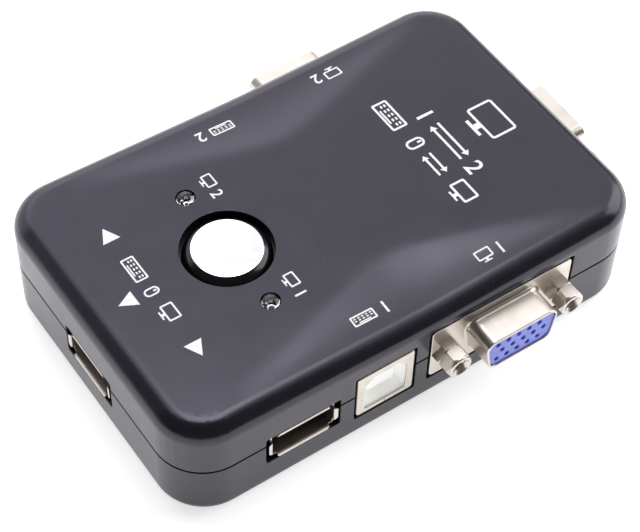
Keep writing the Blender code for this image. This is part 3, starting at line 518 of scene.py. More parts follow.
def fused(base: bmesh.types.BMesh, tools: Sequence[bmesh.types.BMesh], way: Way) -> bmesh.types.BMesh:
    """Cuts every tool out of a shape, or joins every tool to it.

    Args:
        base: the shape that is kept.
        tools: the other shapes, which are used up.
        way: whether they are cut out or joined.

    Returns:
        The resulting shape.
    """
    def linked(name: str, shape: bmesh.types.BMesh) -> bpy.types.Object:
        """An object that holds the shape for the time of the Boolean."""
        bmesh.ops.triangulate(shape, faces=[face for face in shape.faces if len(face.verts) > 4])
        mesh = bpy.data.meshes.new(name)
        shape.to_mesh(mesh)
        shape.free()
        obj = bpy.data.objects.new(name, mesh)
        bpy.context.scene.collection.objects.link(obj)
        return obj

    target = linked("target", base)
    helpers = [linked(f"tool_{number}", tool) for number, tool in enumerate(tools)]
    for helper in helpers:
        modifier = target.modifiers.new(helper.name, "BOOLEAN")
        modifier.operation = way.value
        modifier.object = helper
        modifier.solver = "EXACT"
    graph = bpy.context.evaluated_depsgraph_get()
    result = bmesh.new()
    result.from_object(target, graph)
    for obj in [target, *helpers]:
        mesh = obj.data
        bpy.data.objects.remove(obj)
        bpy.data.meshes.remove(mesh)
    bmesh.ops.remove_doubles(result, verts=result.verts, dist=1e-7)
    return result


def even_normals(obj: bpy.types.Object) -> None:
    """Lets the larger faces decide the shading, so that flat walls look flat beside rounded edges."""
    modifier = obj.modifiers.new("even_normals", "WEIGHTED_NORMAL")
    modifier.mode, modifier.keep_sharp = "FACE_AREA", True
    graph = bpy.context.evaluated_depsgraph_get()
    mesh = bpy.data.meshes.new_from_object(obj.evaluated_get(graph), depsgraph=graph)
    spare, name = obj.data, obj.data.name
    obj.modifiers.clear()
    obj.data = mesh
    bpy.data.meshes.remove(spare)
    mesh.name = name


@dataclass
class Place:
    """A matrix from a sub-assembly's own space to the row frame, and the body it rides on."""

    matrix: Matrix = field(default_factory=lambda: Matrix.Identity(4))
    body: str = "case"

    def piece(
        self, name: str, shape: bmesh.types.BMesh, finish: Finish, slot: str, *nodes: str,
        smooth: float = 32.0,
    ) -> bpy.types.Object:
        """Makes one finished piece.

        Args:
            name: the piece's name.
            shape: its shape in the sub-assembly's own space, which is used up.
            finish: what it is made of.
            slot: the record's material slot, or an empty text for a finish that the record doesn't have; it
                is not used.
            nodes: the CAD nodes that it stands for.
            smooth: edges that turn by more than this many degrees stay sharp.

        Returns:
            The object, riding on its body.
        """
        moved(shape, self.matrix)
        mesh = bpy.data.meshes.new(name)
        shape.to_mesh(mesh)
        shape.free()
        mesh.shade_smooth()
        mesh.set_sharp_from_angle(angle=math.radians(smooth))
        mesh.materials.append(finish.material)
        obj = bpy.data.objects.new(name, mesh)
        bpy.context.scene.collection.objects.link(obj)
        even_normals(obj)
        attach(obj, self.body)
        if nodes:
            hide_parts(*nodes)
        LOG.info("%s: %d faces", name, len(obj.data.polygons))
        return obj


def lofted(sections: Sequence[tuple[Sequence[Point2], float]]) -> bmesh.types.BMesh:
    """Skins a row of outlines in X and Z, each at its own Y, and closes both ends.

    Args:
        sections: each outline with the Y it lies at, from one end to the other.

    Returns:
        The closed mesh.
    """
    shape = bmesh.new()
    rings: list[list[bmesh.types.BMEdge]] = []
    caps: list[list[bmesh.types.BMVert]] = []
    for outline, y in sections:
        points = [shape.verts.new((x, y, z)) for x, z in outline]
        rings.append([shape.edges.new((a, b)) for a, b in zip(points, points[1:] + points[:1])])
        caps.append(points)
    for first, second in zip(rings, rings[1:]):
        bmesh.ops.bridge_loops(shape, edges=first + second)
    shape.faces.new(caps[0])
    shape.faces.new(caps[-1])
    bmesh.ops.recalc_face_normals(shape, faces=shape.faces)
    return shape


def rounded_rim(
    outline: Callable[[float], Sequence[Point2]], radius: float, y: float, inwards: int, steps: int = 4
) -> list[tuple[Sequence[Point2], float]]:
    """Sections that round the edge of a loft's front end.

    Args:
        outline: gives the outline for an offset from the nominal one.
        radius: the rounding.
        y: where the front end lies.
        inwards: +1 where the solid lies behind the end (the outline shrinks towards it), or -1 for a
            cutter, whose mouth flares.
        steps: how many sections.

    Returns:
        Sections from the side wall to the end, as (outline, y) pairs.
    """
    sections = []
    for step in range(steps + 1):
        angle = math.pi / 2 * step / steps
        offset = -inwards * radius * (1 - math.cos(angle))
        sections.append((outline(offset), y + radius * (1 - math.sin(angle))))
    return sections


# ---------------------------------------------------------------------------------------------
# Case
# ---------------------------------------------------------------------------------------------


class Side(Enum):
    """A side of the case, by the turn about Z that brings -Y to it."""

    COMPUTER_1 = 0.0
    MONITOR = math.pi / 2
    COMPUTER_2 = math.pi
    DEVICE = -math.pi / 2

    def place(self, node: str) -> Place:
        """The place of a socket, from its shell's box: its local origin is on the case's outer wall.

        Args:
            node: the name of the socket's shell in the CAD model.

        Returns:
            The socket's place and heading.
        """
        low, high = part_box(node)
        case_low, case_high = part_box("top_cover")
        spot = (low + high) / 2
        if self is Side.COMPUTER_1:
            spot.y = case_low.y
        elif self is Side.COMPUTER_2:
            spot.y = case_high.y
        elif self is Side.MONITOR:
            spot.x = case_high.x
        else:
            spot.x = case_low.x
        return Place(Matrix.Translation(spot) @ Matrix.Rotation(self.value, 4, "Z"))


@dataclass
class Scoops:
    """The two lowered flanks of the top: a shallow hollow on each long side, its crease a rounded V."""

    height: float
    shoulder: float
    middle_x: float = 2.0 * MM
    crest_y: float = 16.6 * MM
    slope: float = 0.34
    crest_rounding: float = 5.0 * MM
    crease_rounding: float = 0.7 * MM
    depth: float = 1.1 * MM

    def fall(self, x: float, y: float) -> float:
        """How far the top lies below the flat platform at a point."""
        run = math.hypot(x - self.middle_x, self.crest_rounding) - self.crest_rounding
        crease = self.crest_y + self.slope * run
        span = self.shoulder - crease
        if span <= 0.0:
            return 0.0
        beyond = abs(y) - crease
        beyond = (beyond + math.hypot(beyond, self.crease_rounding)) / 2
        share = min(beyond / span, 1.0)
        return self.depth * span / (self.shoulder - self.crest_y) * (1 - (1 - share) ** 2)

    def level(self, x: float, y: float) -> float:
        """The height of the top at a point."""
        return self.height - self.fall(x, y)


@dataclass
class Case:
    """The two covers, with fine edges, scoops, button and lamp holes and the sockets' openings."""

    corner: float = 9.5 * MM
    top_edge: float = 3.6 * MM
    bottom_edge: float = 2.5 * MM
    wall: float = 2.0 * MM
    seam_edge: float = 0.3 * MM
    hole_edge: float = 0.14 * MM
    button_hole: float = 8.5 * MM
    collar_bore: float = 9.9 * MM
    collar_wall: float = 1.2 * MM
    collar_depth: float = 5.0 * MM
    lamp_hole: float = 1.8 * MM
    boss: float = 3.0 * MM
    low_boss: float = 4.2 * MM
    overlap: float = 0.3 * MM
    seam_gap: float = 0.1 * MM
    pilot_hole: float = 1.2 * MM
    screw_hole: float = 1.6 * MM
    lip_wall: float = 0.7 * MM
    lip_rise: float = 1.2 * MM
    head_recess: float = 2.9 * MM
    recess_depth: float = 2.3 * MM
    seam: float = 12.5 * MM
    slice_step: float = 1.5 * MM
    smooth: float = 26.0
    place: Place = field(default_factory=Place)

    def __post_init__(self) -> None:
        """Reads the case's outer size from the frame."""
        low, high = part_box("top_cover")
        self.size = Vector((high.x - low.x, high.y - low.y, high.z))
        button_low, button_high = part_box("button_cap")
        self.button = (button_low + button_high) / 2
        self.lamps = [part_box(f"lamp_{number}") for number in (1, 2)]
        screws = [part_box(f"case_screw_{number}") for number in (1, 2, 3, 4)]
        self.bosses = [((low + high) / 2).to_2d() for low, high in screws]
        board_low, board_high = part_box("circuit_board")
        self.board = (board_low.z, board_high.z)
        self.ceiling = self.size.z - self.wall
        self.scoops = Scoops(self.size.z, self.size.y / 2 - self.top_edge)

    def skin(
        self, low: float, high: float, inset: float, top: float = 0.0, base: float = 0.0, steps: int = 16
    ) -> bmesh.types.BMesh:
        """A box of the case's plan, set in from it, with round corners and round top or bottom edges.

        Args:
            low: height of its underside.
            high: height of its top.
            inset: how far it is set in from the case's outside.
            top: rounding of the upper edges.
            base: rounding of the lower edges.
            steps: facets of each round corner.

        Returns:
            The mesh.
        """
        x, y = self.size.x / 2 - inset, self.size.y / 2 - inset
        shape = bevel(block((-x, -y, low), (x, y, high)), along(2), self.corner - inset, steps)
        if top:
            bevel(shape, at_level(2, high), top, 10 if inset == 0.0 else 3)
        if base:
            bevel(shape, at_level(2, low), base, 8 if inset == 0.0 else 3)
        return shape

    def scooped(self, shape: bmesh.types.BMesh) -> bmesh.types.BMesh:
        """Slices the top finely and sinks its two flanks.

        Args:
            shape: the solid to shape; it is used up.

        Returns:
            The shaped solid.
        """
        for axis, reach in ((0, self.size.x / 2), (1, self.size.y / 2)):
            normal = Vector((1.0, 0.0, 0.0)) if axis == 0 else Vector((0.0, 1.0, 0.0))
            count = int(reach / self.slice_step)
            for step in range(-count, count + 1):
                geom = [*shape.verts, *shape.edges, *shape.faces]
                bmesh.ops.bisect_plane(
                    shape, geom=geom, dist=1e-7, plane_co=normal * step * self.slice_step, plane_no=normal,
                )
        start = self.size.z - 2.2 * self.top_edge
        for vert in shape.verts:
            if vert.co.z > start:
                share = (vert.co.z - start) / (self.size.z - start)
                vert.co.z -= share * self.scoops.fall(vert.co.x, vert.co.y)
        return shape

    def pillar(
        self, radius: float, low: float, high: float, spot: Sequence[float], steps: int = 32
    ) -> bmesh.types.BMesh:
        """An upright round bar at a point.

        Args:
            radius: the bar's radius.
            low: height of its foot.
            high: height of its head.
            spot: where it stands, in X and Y.
            steps: facets round it.

        Returns:
            The mesh.
        """
        return shifted(bar(radius, low, high, steps), spot[0], spot[1])

    def hole(self, radius: float, spot: Sequence[float]) -> bmesh.types.BMesh:
        """A cutter through the top, with a softly rounded upper edge."""
        edge, high = self.hole_edge, self.size.z
        profile = [(0.0, self.ceiling - MM), (radius, self.ceiling - MM)]
        profile += [(radius + edge - x, z) for x, z in arc((0.0, high - edge), edge, 0.0, 90.0, 5)]
        profile += [(radius + edge, high + MM), (0.0, high + MM)]
        return shifted(turned(profile, 96 if radius > self.lamp_hole else 40), spot[0], spot[1])

    def cover_top(self, windows: Sequence[bmesh.types.BMesh]) -> None:
        """Makes the top cover.

        Args:
            windows: cutters for the socket windows.
        """
        low = self.seam + self.seam_gap
        shell = self.skin(low, self.size.z, 0.0, self.top_edge)
        bevel(shell, at_level(2, low), self.seam_edge, 3)
        self.scooped(shell)
        cavity = self.skin(self.seam - 2 * MM, self.ceiling, self.wall, self.top_edge - self.wall, steps=8)
        shell = fused(shell, [cavity], Way.CUT)
        high = self.ceiling + self.overlap
        inside = [self.pillar(self.boss, self.board[1] + self.overlap, high, b) for b in self.bosses]
        collar = self.collar_bore + self.collar_wall
        low = self.ceiling - self.collar_depth
        inside.append(self.pillar(collar, low, high, self.button, 64))
        shell = fused(shell, [merged(inside)], Way.JOIN)
        cutters = [self.hole(self.lamp_hole, ((a + b) / 2).to_2d()) for a, b in self.lamps]
        cutters += [self.hole(self.button_hole, self.button), *windows]
        start, end = self.board[1] - MM, self.ceiling - 5 * MM
        cutters += [self.pillar(self.pilot_hole, start, end, b, 16) for b in self.bosses]
        bore = self.pillar(self.collar_bore, low - MM, self.ceiling, self.button, 64)
        shell = fused(shell, [bore], Way.CUT)
        shell = fused(shell, [merged(cutters)], Way.CUT)
        self.place.piece(
            "top_cover_shell", shell, Finish.CASE, "case_plastic", "top_cover", smooth=self.smooth,
        )

    def cover_bottom(self, windows: Sequence[bmesh.types.BMesh]) -> None:
        """Makes the bottom cover, with its lip and its four recessed bosses.

        Args:
            windows: cutters for the socket windows.
        """
        high = self.seam - self.seam_gap
        shell = self.skin(0.0, high, 0.0, base=self.bottom_edge)
        bevel(shell, at_level(2, high), self.seam_edge, 3)
        lip = self.skin(self.seam - 3 * MM, high + self.lip_rise, self.wall - self.lip_wall, steps=12)
        shell = fused(shell, [lip], Way.JOIN)
        cavity = self.skin(self.wall, high + self.lip_rise + MM, self.wall, base=MM, steps=8)
        shell = fused(shell, [cavity], Way.CUT)
        bosses = [
            self.pillar(self.low_boss, self.wall - self.overlap, self.board[0] - self.overlap, b)
            for b in self.bosses
        ]
        shell = fused(shell, [merged(bosses)], Way.JOIN)
        edge = self.hole_edge
        profile = [(0.0, -MM), (self.head_recess + edge, -MM), (self.head_recess + edge, 0.0)]
        profile += [(self.head_recess, edge), (self.head_recess, self.recess_depth)]
        profile += [(self.screw_hole, self.recess_depth), (self.screw_hole, 5 * MM), (0.0, 5 * MM)]
        cutters = [shifted(turned(profile, 40), b.x, b.y) for b in self.bosses]
        shell = fused(shell, [merged([*cutters, *windows])], Way.CUT)
        self.place.piece(
            "bottom_cover_shell", shell, Finish.CASE, "case_plastic", "bottom_cover", smooth=self.smooth,
        )


@dataclass
class Fasteners:
    """The four cross-slotted case screws, seen in their recesses in the underside."""

    head: float = 2.6 * MM
    head_low: float = 0.4 * MM
    head_rounding: float = 1.2 * MM
    thread_depth: float = 0.3 * MM
    pitch: float = 1.0 * MM
    head_high: float = 2.0 * MM
    shank: float = 1.3 * MM
    slot_width: float = 0.75 * MM
    slot_reach: float = 1.55 * MM
    slot_depth: float = 1.1 * MM

    def screw(self) -> bmesh.types.BMesh:
        """One screw, its head down, on the Z axis, with a cut thread.

        Returns:
            The mesh.
        """
        high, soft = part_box("case_screw_1")[1], self.head_rounding
        profile = [(0.0, self.head_low), (self.head - soft, self.head_low)]
        rounding = arc((self.head - soft, -self.head_low - soft), soft, 90, 0, 6)
        profile += [(x, -z) for x, z in rounding][1:]
        profile += [(self.head, self.head_high), (self.shank, self.head_high)]
        z, root = self.head_high + 0.8 * MM, self.shank - self.thread_depth
        while z < high.z - 1.6 * MM:
            profile += [(root, z), (self.shank, z + self.pitch / 2)]
            z += self.pitch
        profile += [(root, high.z - self.shank), (0.0, high.z)]
        shape = turned(profile, 28)
        arms = [
            bevel(block((-a, -b, -MM), (a, b, self.head_low + self.slot_depth)), along(2), 0.15 * MM, 2)
            for a, b in ((self.slot_reach, self.slot_width / 2), (self.slot_width / 2, self.slot_reach))
        ]
        return fused(shape, arms, Way.CUT)

    def build(self) -> None:
        """Makes the four screws."""
        for number in (1, 2, 3, 4):
            low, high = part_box(f"case_screw_{number}")
            spot = (low + high) / 2
            turn = Matrix.Rotation(math.radians(23.0 * number), 4, "Z")
            place = Place(Matrix.Translation((spot.x, spot.y, 0.0)) @ turn)
            place.piece(f"screw_{number}", self.screw(), Finish.ZINC, "steel", f"case_screw_{number}")


# ---------------------------------------------------------------------------------------------
# Sockets
# ---------------------------------------------------------------------------------------------


@dataclass
class Socket:
    """What every socket has: a name, a side of the case, and its shell's place there."""

    name: str
    side: Side

    def __post_init__(self) -> None:
        """Finds the socket's place."""
        self.place = self.side.place(f"{self.name}_shell")

    def metal(self, shape: bmesh.types.BMesh, smooth: float = 32.0) -> None:
        """Makes the plated shell's piece."""
        self.place.piece(
            f"{self.name}_metal", shape, Finish.NICKEL, "nickel", f"{self.name}_shell", smooth=smooth,
        )

    def plastic(self, shape: bmesh.types.BMesh, finish: Finish, slot: str) -> None:
        """Makes the insulator's piece."""
        self.place.piece(f"{self.name}_plastic", shape, finish, slot, f"{self.name}_insulator")

    def contact_strips(self, strips: Iterable[bmesh.types.BMesh]) -> None:
        """Makes the contacts' piece."""
        self.place.piece(f"{self.name}_contacts", merged(strips), Finish.GOLD, "steel")

    def opening_cutter(self, size: tuple[float, float], margin: float) -> bmesh.types.BMesh:
        """A cutter for the opening in the case's wall.

        Args:
            size: the width and height of what fills the opening.
            margin: the clearance round it.

        Returns:
            The cutter, in the row frame, its mouth softened where it meets the outer wall.
        """
        edge, corner = 0.25 * MM, 0.4 * MM

        def outline(offset: float) -> list[Point2]:
            """The opening, set out by an offset."""
            width, height = size[0] + 2 * (margin + offset), size[1] + 2 * (margin + offset)
            return rounded_rectangle(width, height, corner + max(offset, 0.0), 4)

        sections = [(outline(0.0), 4 * MM)]
        sections += rounded_rim(outline, edge, 0.0, -1, 3)
        sections += [(outline(edge), -MM)]
        return moved(lofted(sections), self.place.matrix)


@dataclass
class VideoSocket(Socket):
    """A video socket: plated shell with its D-shaped nose, insulator with fifteen holes, two jackscrews."""

    flange: tuple[float, float] = (30.8 * MM, 12.5 * MM)
    flange_corner: float = 0.9 * MM
    flange_thickness: float = 0.6 * MM
    window_margin: float = 0.45 * MM
    nose: tuple[float, float] = (16.4 * MM, 7.9 * MM)
    nose_length: float = 6.1 * MM
    nose_corner: float = 2.1 * MM
    nose_wall: float = 0.55 * MM
    root: float = 0.75 * MM
    lean: float = 10.0
    hole_pitch: float = 2.29 * MM
    row_pitch: float = 1.98 * MM
    hole_radius: float = 0.5 * MM
    hole_flare: float = 0.6 * MM
    face_recess: float = 0.3 * MM
    rear_depth: float = 9.0 * MM
    screw_spacing: float = 25.0 * MM
    across_flats: float = 4.8 * MM
    screw_length: float = 5.0 * MM
    screw_nose: float = 2.42 * MM
    groove_at: float = 0.4  # of the jackscrew's length
    stud: float = 1.3 * MM
    stud_gap: float = 0.15 * MM
    thread: float = 1.62 * MM
    thread_pitch: float = 0.6 * MM

    def nose_outline(self, offset: float = 0.0) -> list[Point2]:
        """The D shape, wide at the top, set out by an offset."""
        width, height = self.nose[0] + 2 * offset, self.nose[1] + 2 * offset
        corner, lean = self.nose_corner + offset, math.radians(self.lean)
        half_top = width / 2
        half_bottom = half_top - height * math.tan(lean)
        low_x = half_bottom - corner * math.tan(math.pi / 4 - lean / 2)
        high_x = half_top - corner * math.tan(math.pi / 4 + lean / 2)
        right = arc((low_x, corner - height / 2), corner, -90.0, -self.lean, 10)
        right += arc((high_x, height / 2 - corner), corner, -self.lean, 90.0, 12)
        return right + [(-x, z) for x, z in reversed(right)]

    def window(self) -> bmesh.types.BMesh:
        """The cutter for the case's opening, with a softened mouth."""
        return self.opening_cutter(self.flange, self.window_margin)

    def shell(self) -> None:
        """Makes the plated shell, its flange and the swelling at the nose's root."""
        plate = lofted([
            (rounded_rectangle(*self.flange, self.flange_corner), self.flange_thickness),
            *rounded_rim(
                lambda offset: rounded_rectangle(
                    self.flange[0] + 2 * offset, self.flange[1] + 2 * offset, self.flange_corner + offset,
                ), 0.15 * MM, 0.0, 1, 3,
            ),
        ])
        sections = [(self.nose_outline(self.root), self.flange_thickness / 2)]
        sections += [
            (self.nose_outline(self.root - self.root * math.sin(a)), -self.root * (1 - math.cos(a)))
            for a in [math.pi / 2 * step / 9 for step in range(10)]
        ]
        sections += rounded_rim(self.nose_outline, 0.22 * MM, -self.nose_length, 1, 6)
        shape = fused(plate, [lofted(sections)], Way.JOIN)
        bore = lofted([
            (self.nose_outline(-self.nose_wall), self.flange_thickness + MM),
            (self.nose_outline(-self.nose_wall), -self.nose_length + 0.1 * MM),
            (self.nose_outline(-self.nose_wall + 0.08 * MM), -self.nose_length),
            (self.nose_outline(-self.nose_wall + 0.08 * MM), -self.nose_length - MM),
        ])
        shape = fused(shape, [bore, self.stud_holes(self.flange_thickness)], Way.CUT)
        self.metal(shape, smooth=35.0)

    def stud_holes(self, end: float) -> bmesh.types.BMesh:
        """Cutters for the jackscrews' studs."""
        radius = self.stud + self.stud_gap
        return merged([
            shifted(moved(bar(radius, -end - MM, MM, 24), FACE_FRONT), side * self.screw_spacing / 2)
            for side in (-1, 1)
        ])

    def insulator(self) -> None:
        """Makes the coloured insulator: fifteen countersunk contact holes and the block behind."""
        inset = -self.nose_wall - 0.04 * MM
        face = -self.nose_length + self.face_recess
        rear = self.flange_thickness + 0.05 * MM
        front = lofted([
            (self.nose_outline(inset), rear + MM),
            *rounded_rim(lambda offset: self.nose_outline(inset + offset), 0.12 * MM, face, 1, 2),
        ])
        low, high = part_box(f"{self.name}_insulator")
        height = (high - low).z
        half = self.flange[0] / 2 - 0.4 * MM
        base = low.z - self.place.matrix.translation.z
        block_shape = block((-half, rear, base), (half, rear + self.rear_depth, base + height))
        bevel(block_shape, sharp(), 0.3 * MM, 2)
        shape = fused(front, [block_shape], Way.JOIN)
        flare = self.hole_flare - self.hole_radius
        profile = [
            (0.0, -3.2 * MM), (self.hole_radius, -2.8 * MM), (self.hole_radius, -flare * 1.1),
            (self.hole_flare, 0.0), (self.hole_flare, 0.5 * MM), (0.0, 0.5 * MM),
        ]
        holes = [
            shifted(moved(turned(profile, 20), FACE_FRONT), x, face, z) for x, z in self.hole_places()
        ]
        shape = fused(shape, [merged([*holes, self.stud_holes(rear + self.rear_depth)])], Way.CUT)
        self.plastic(shape, Finish.BLUE, "blue_insulator")

    def hole_places(self) -> list[Point2]:
        """The fifteen contact holes: three rows of five, the middle row shifted by half a pitch."""
        return [
            (column * self.hole_pitch + self.hole_pitch / 4 * (1 if row == 0 else -1), row * self.row_pitch)
            for row in (-1, 0, 1)
            for column in range(-2, 3)
        ]

    def jackscrew(self) -> bmesh.types.BMesh:
        """One jackscrew: hexagonal, with a turned groove and chamfers, and a bore with rings for threads.

        Returns:
            The mesh.
        """
        radius = self.across_flats / math.sqrt(3)
        turns = [math.tau * corner / 6 for corner in range(6)]
        hexagon = [(radius * math.cos(a), radius * math.sin(a)) for a in turns]
        body = bevel(prism(hexagon, -self.screw_length, 0.0), along(1), 0.06 * MM, 1)
        front, step = self.screw_length, self.screw_length * self.groove_at
        soft, groove, wide = 0.4 * MM, 0.35 * MM, radius + 0.1 * MM
        barrel = [(0.0, -0.5 * MM), (radius - 0.25 * MM, -0.5 * MM), (wide, groove), (wide, step - groove)]
        barrel += [(self.screw_nose, step), (wide, step + groove), (wide, front - 0.8 * MM)]
        barrel += arc((self.screw_nose - soft, front - soft), soft, 0.0, 90.0, 7) + [(0.0, front)]
        body = fused(body, [moved(turned(barrel, 48), FACE_FRONT)], Way.KEEP)
        stud = moved(bar(self.stud, -6.0 * MM, MM, 24), FACE_FRONT)
        body = fused(body, [stud], Way.JOIN)
        bore: list[Point2] = [(0.0, front - 4.0 * MM)]
        z = front - 3.8 * MM
        while z < front - 0.6 * MM:
            bore += [(self.thread - 0.22 * MM, z), (self.thread, z + self.thread_pitch / 2)]
            z += self.thread_pitch
        bore += [(self.thread - 0.2 * MM, front - 0.45 * MM), (self.thread + 0.25 * MM, front)]
        bore += [(self.thread + 0.25 * MM, front + MM), (0.0, front + MM)]
        return fused(body, [moved(turned(bore, 32), FACE_FRONT)], Way.CUT)

    def build(self) -> None:
        """Makes the socket's four pieces."""
        self.shell()
        self.insulator()
        for label, side in (("left", -1), ("right", 1)):
            shape = shifted(self.jackscrew(), side * self.screw_spacing / 2)
            self.place.piece(
                f"{self.name}_hex_{label}", shape, Finish.NICKEL, "nickel", f"{self.name}_jackscrew_{label}",
                smooth=20.0,
            )


@dataclass
class HostSocket(Socket):
    """A square USB socket: folded steel box, translucent insulator with a tongue, four contacts."""

    frame: tuple[float, float] = (12.1 * MM, 10.9 * MM)
    depth: float = 16.0 * MM
    sheet: float = 0.35 * MM
    corner: float = 0.7 * MM
    mouth: tuple[float, float] = (8.45 * MM, 7.78 * MM)
    chamfer: float = 1.7 * MM
    well: float = 9.0 * MM
    tongue: tuple[float, float] = (5.6 * MM, 3.2 * MM)
    tongue_recess: float = 1.4 * MM
    contact_x: float = 1.25 * MM
    window_margin: float = 0.4 * MM

    def window(self) -> bmesh.types.BMesh:
        """The cutter for the case's opening."""
        return self.opening_cutter(self.frame, self.window_margin)

    def mouth_outline(self, offset: float) -> list[Point2]:
        """The mouth: its two upper corners are cut off."""
        x, z = self.mouth[0] / 2 + offset, self.mouth[1] / 2 + offset
        cut = self.chamfer + offset * 0.6
        soft = 0.35 * MM
        right = arc((x - soft, soft - z), soft, -90.0, 0.0, 4) + [(x, z - cut), (x - cut, z)]
        return right + [(-a, b) for a, b in reversed(right)]

    def shell(self) -> None:
        """Makes the folded steel box."""
        def outline(offset: float) -> list[Point2]:
            """The box's section, set out by an offset."""
            width, height = self.frame[0] + 2 * offset, self.frame[1] + 2 * offset
            return rounded_rectangle(width, height, max(self.corner + offset, 0.1 * MM), 5)

        box = lofted([(outline(0.0), self.depth), *rounded_rim(outline, 0.35 * MM, 0.0, 1, 4)])
        inside = lofted([(outline(-self.sheet), self.depth + MM), (outline(-self.sheet), self.sheet)])
        mouth = lofted([
            (self.mouth_outline(0.2 * MM), self.sheet + 0.5 * MM), (self.mouth_outline(0.2 * MM), 0.12 * MM),
            (self.mouth_outline(0.32 * MM), 0.0), (self.mouth_outline(0.32 * MM), -MM),
        ])
        half = 0.06 * MM
        fold = block((-half, -MM, -self.frame[1] / 2 - MM), (half, self.depth + MM, -self.mouth[1] / 2))
        shape = fused(fused(box, [inside], Way.CUT), [mouth, fold], Way.CUT)
        self.metal(shape)

    def insulator(self) -> None:
        """Makes the moulded body, with its well and central tongue."""
        gap = 0.05 * MM
        width, height = self.frame[0] - 2 * (self.sheet + gap), self.frame[1] - 2 * (self.sheet + gap)
        front = self.sheet + gap
        body = lofted([
            (rounded_rectangle(width, height, 0.4 * MM, 3), self.depth),
            (rounded_rectangle(width, height, 0.4 * MM, 3), front),
        ])
        well = lofted([
            (self.mouth_outline(0.0), front + self.well), (self.mouth_outline(0.0), front + 0.3 * MM),
            (self.mouth_outline(0.15 * MM), front), (self.mouth_outline(0.15 * MM), front - MM),
        ])
        x, z = self.tongue[0] / 2, self.tongue[1] / 2
        tongue = block((-x, self.tongue_recess, -z), (x, front + self.well + MM, z))
        bevel(tongue, at_level(1, self.tongue_recess), 0.35 * MM, 3)
        shape = fused(fused(body, [well], Way.CUT), [tongue], Way.JOIN)
        self.plastic(shape, Finish.WHITE, "white_insulator")

    def contacts(self) -> None:
        """Makes the four contacts, two on each face of the tongue."""
        strips = []
        half, thick = 0.5 * MM, 0.1 * MM
        for x in (-self.contact_x, self.contact_x):
            for side in (-1, 1):
                z = side * self.tongue[1] / 2
                strip = block((x - half, 2.2 * MM, z - thick), (x + half, self.well - MM, z + thick))
                strips.append(bevel(strip, sharp(), 0.08 * MM, 2))
        self.contact_strips(strips)

    def build(self) -> None:
        """Makes the socket's pieces."""
        self.shell()
        self.insulator()
        self.contacts()


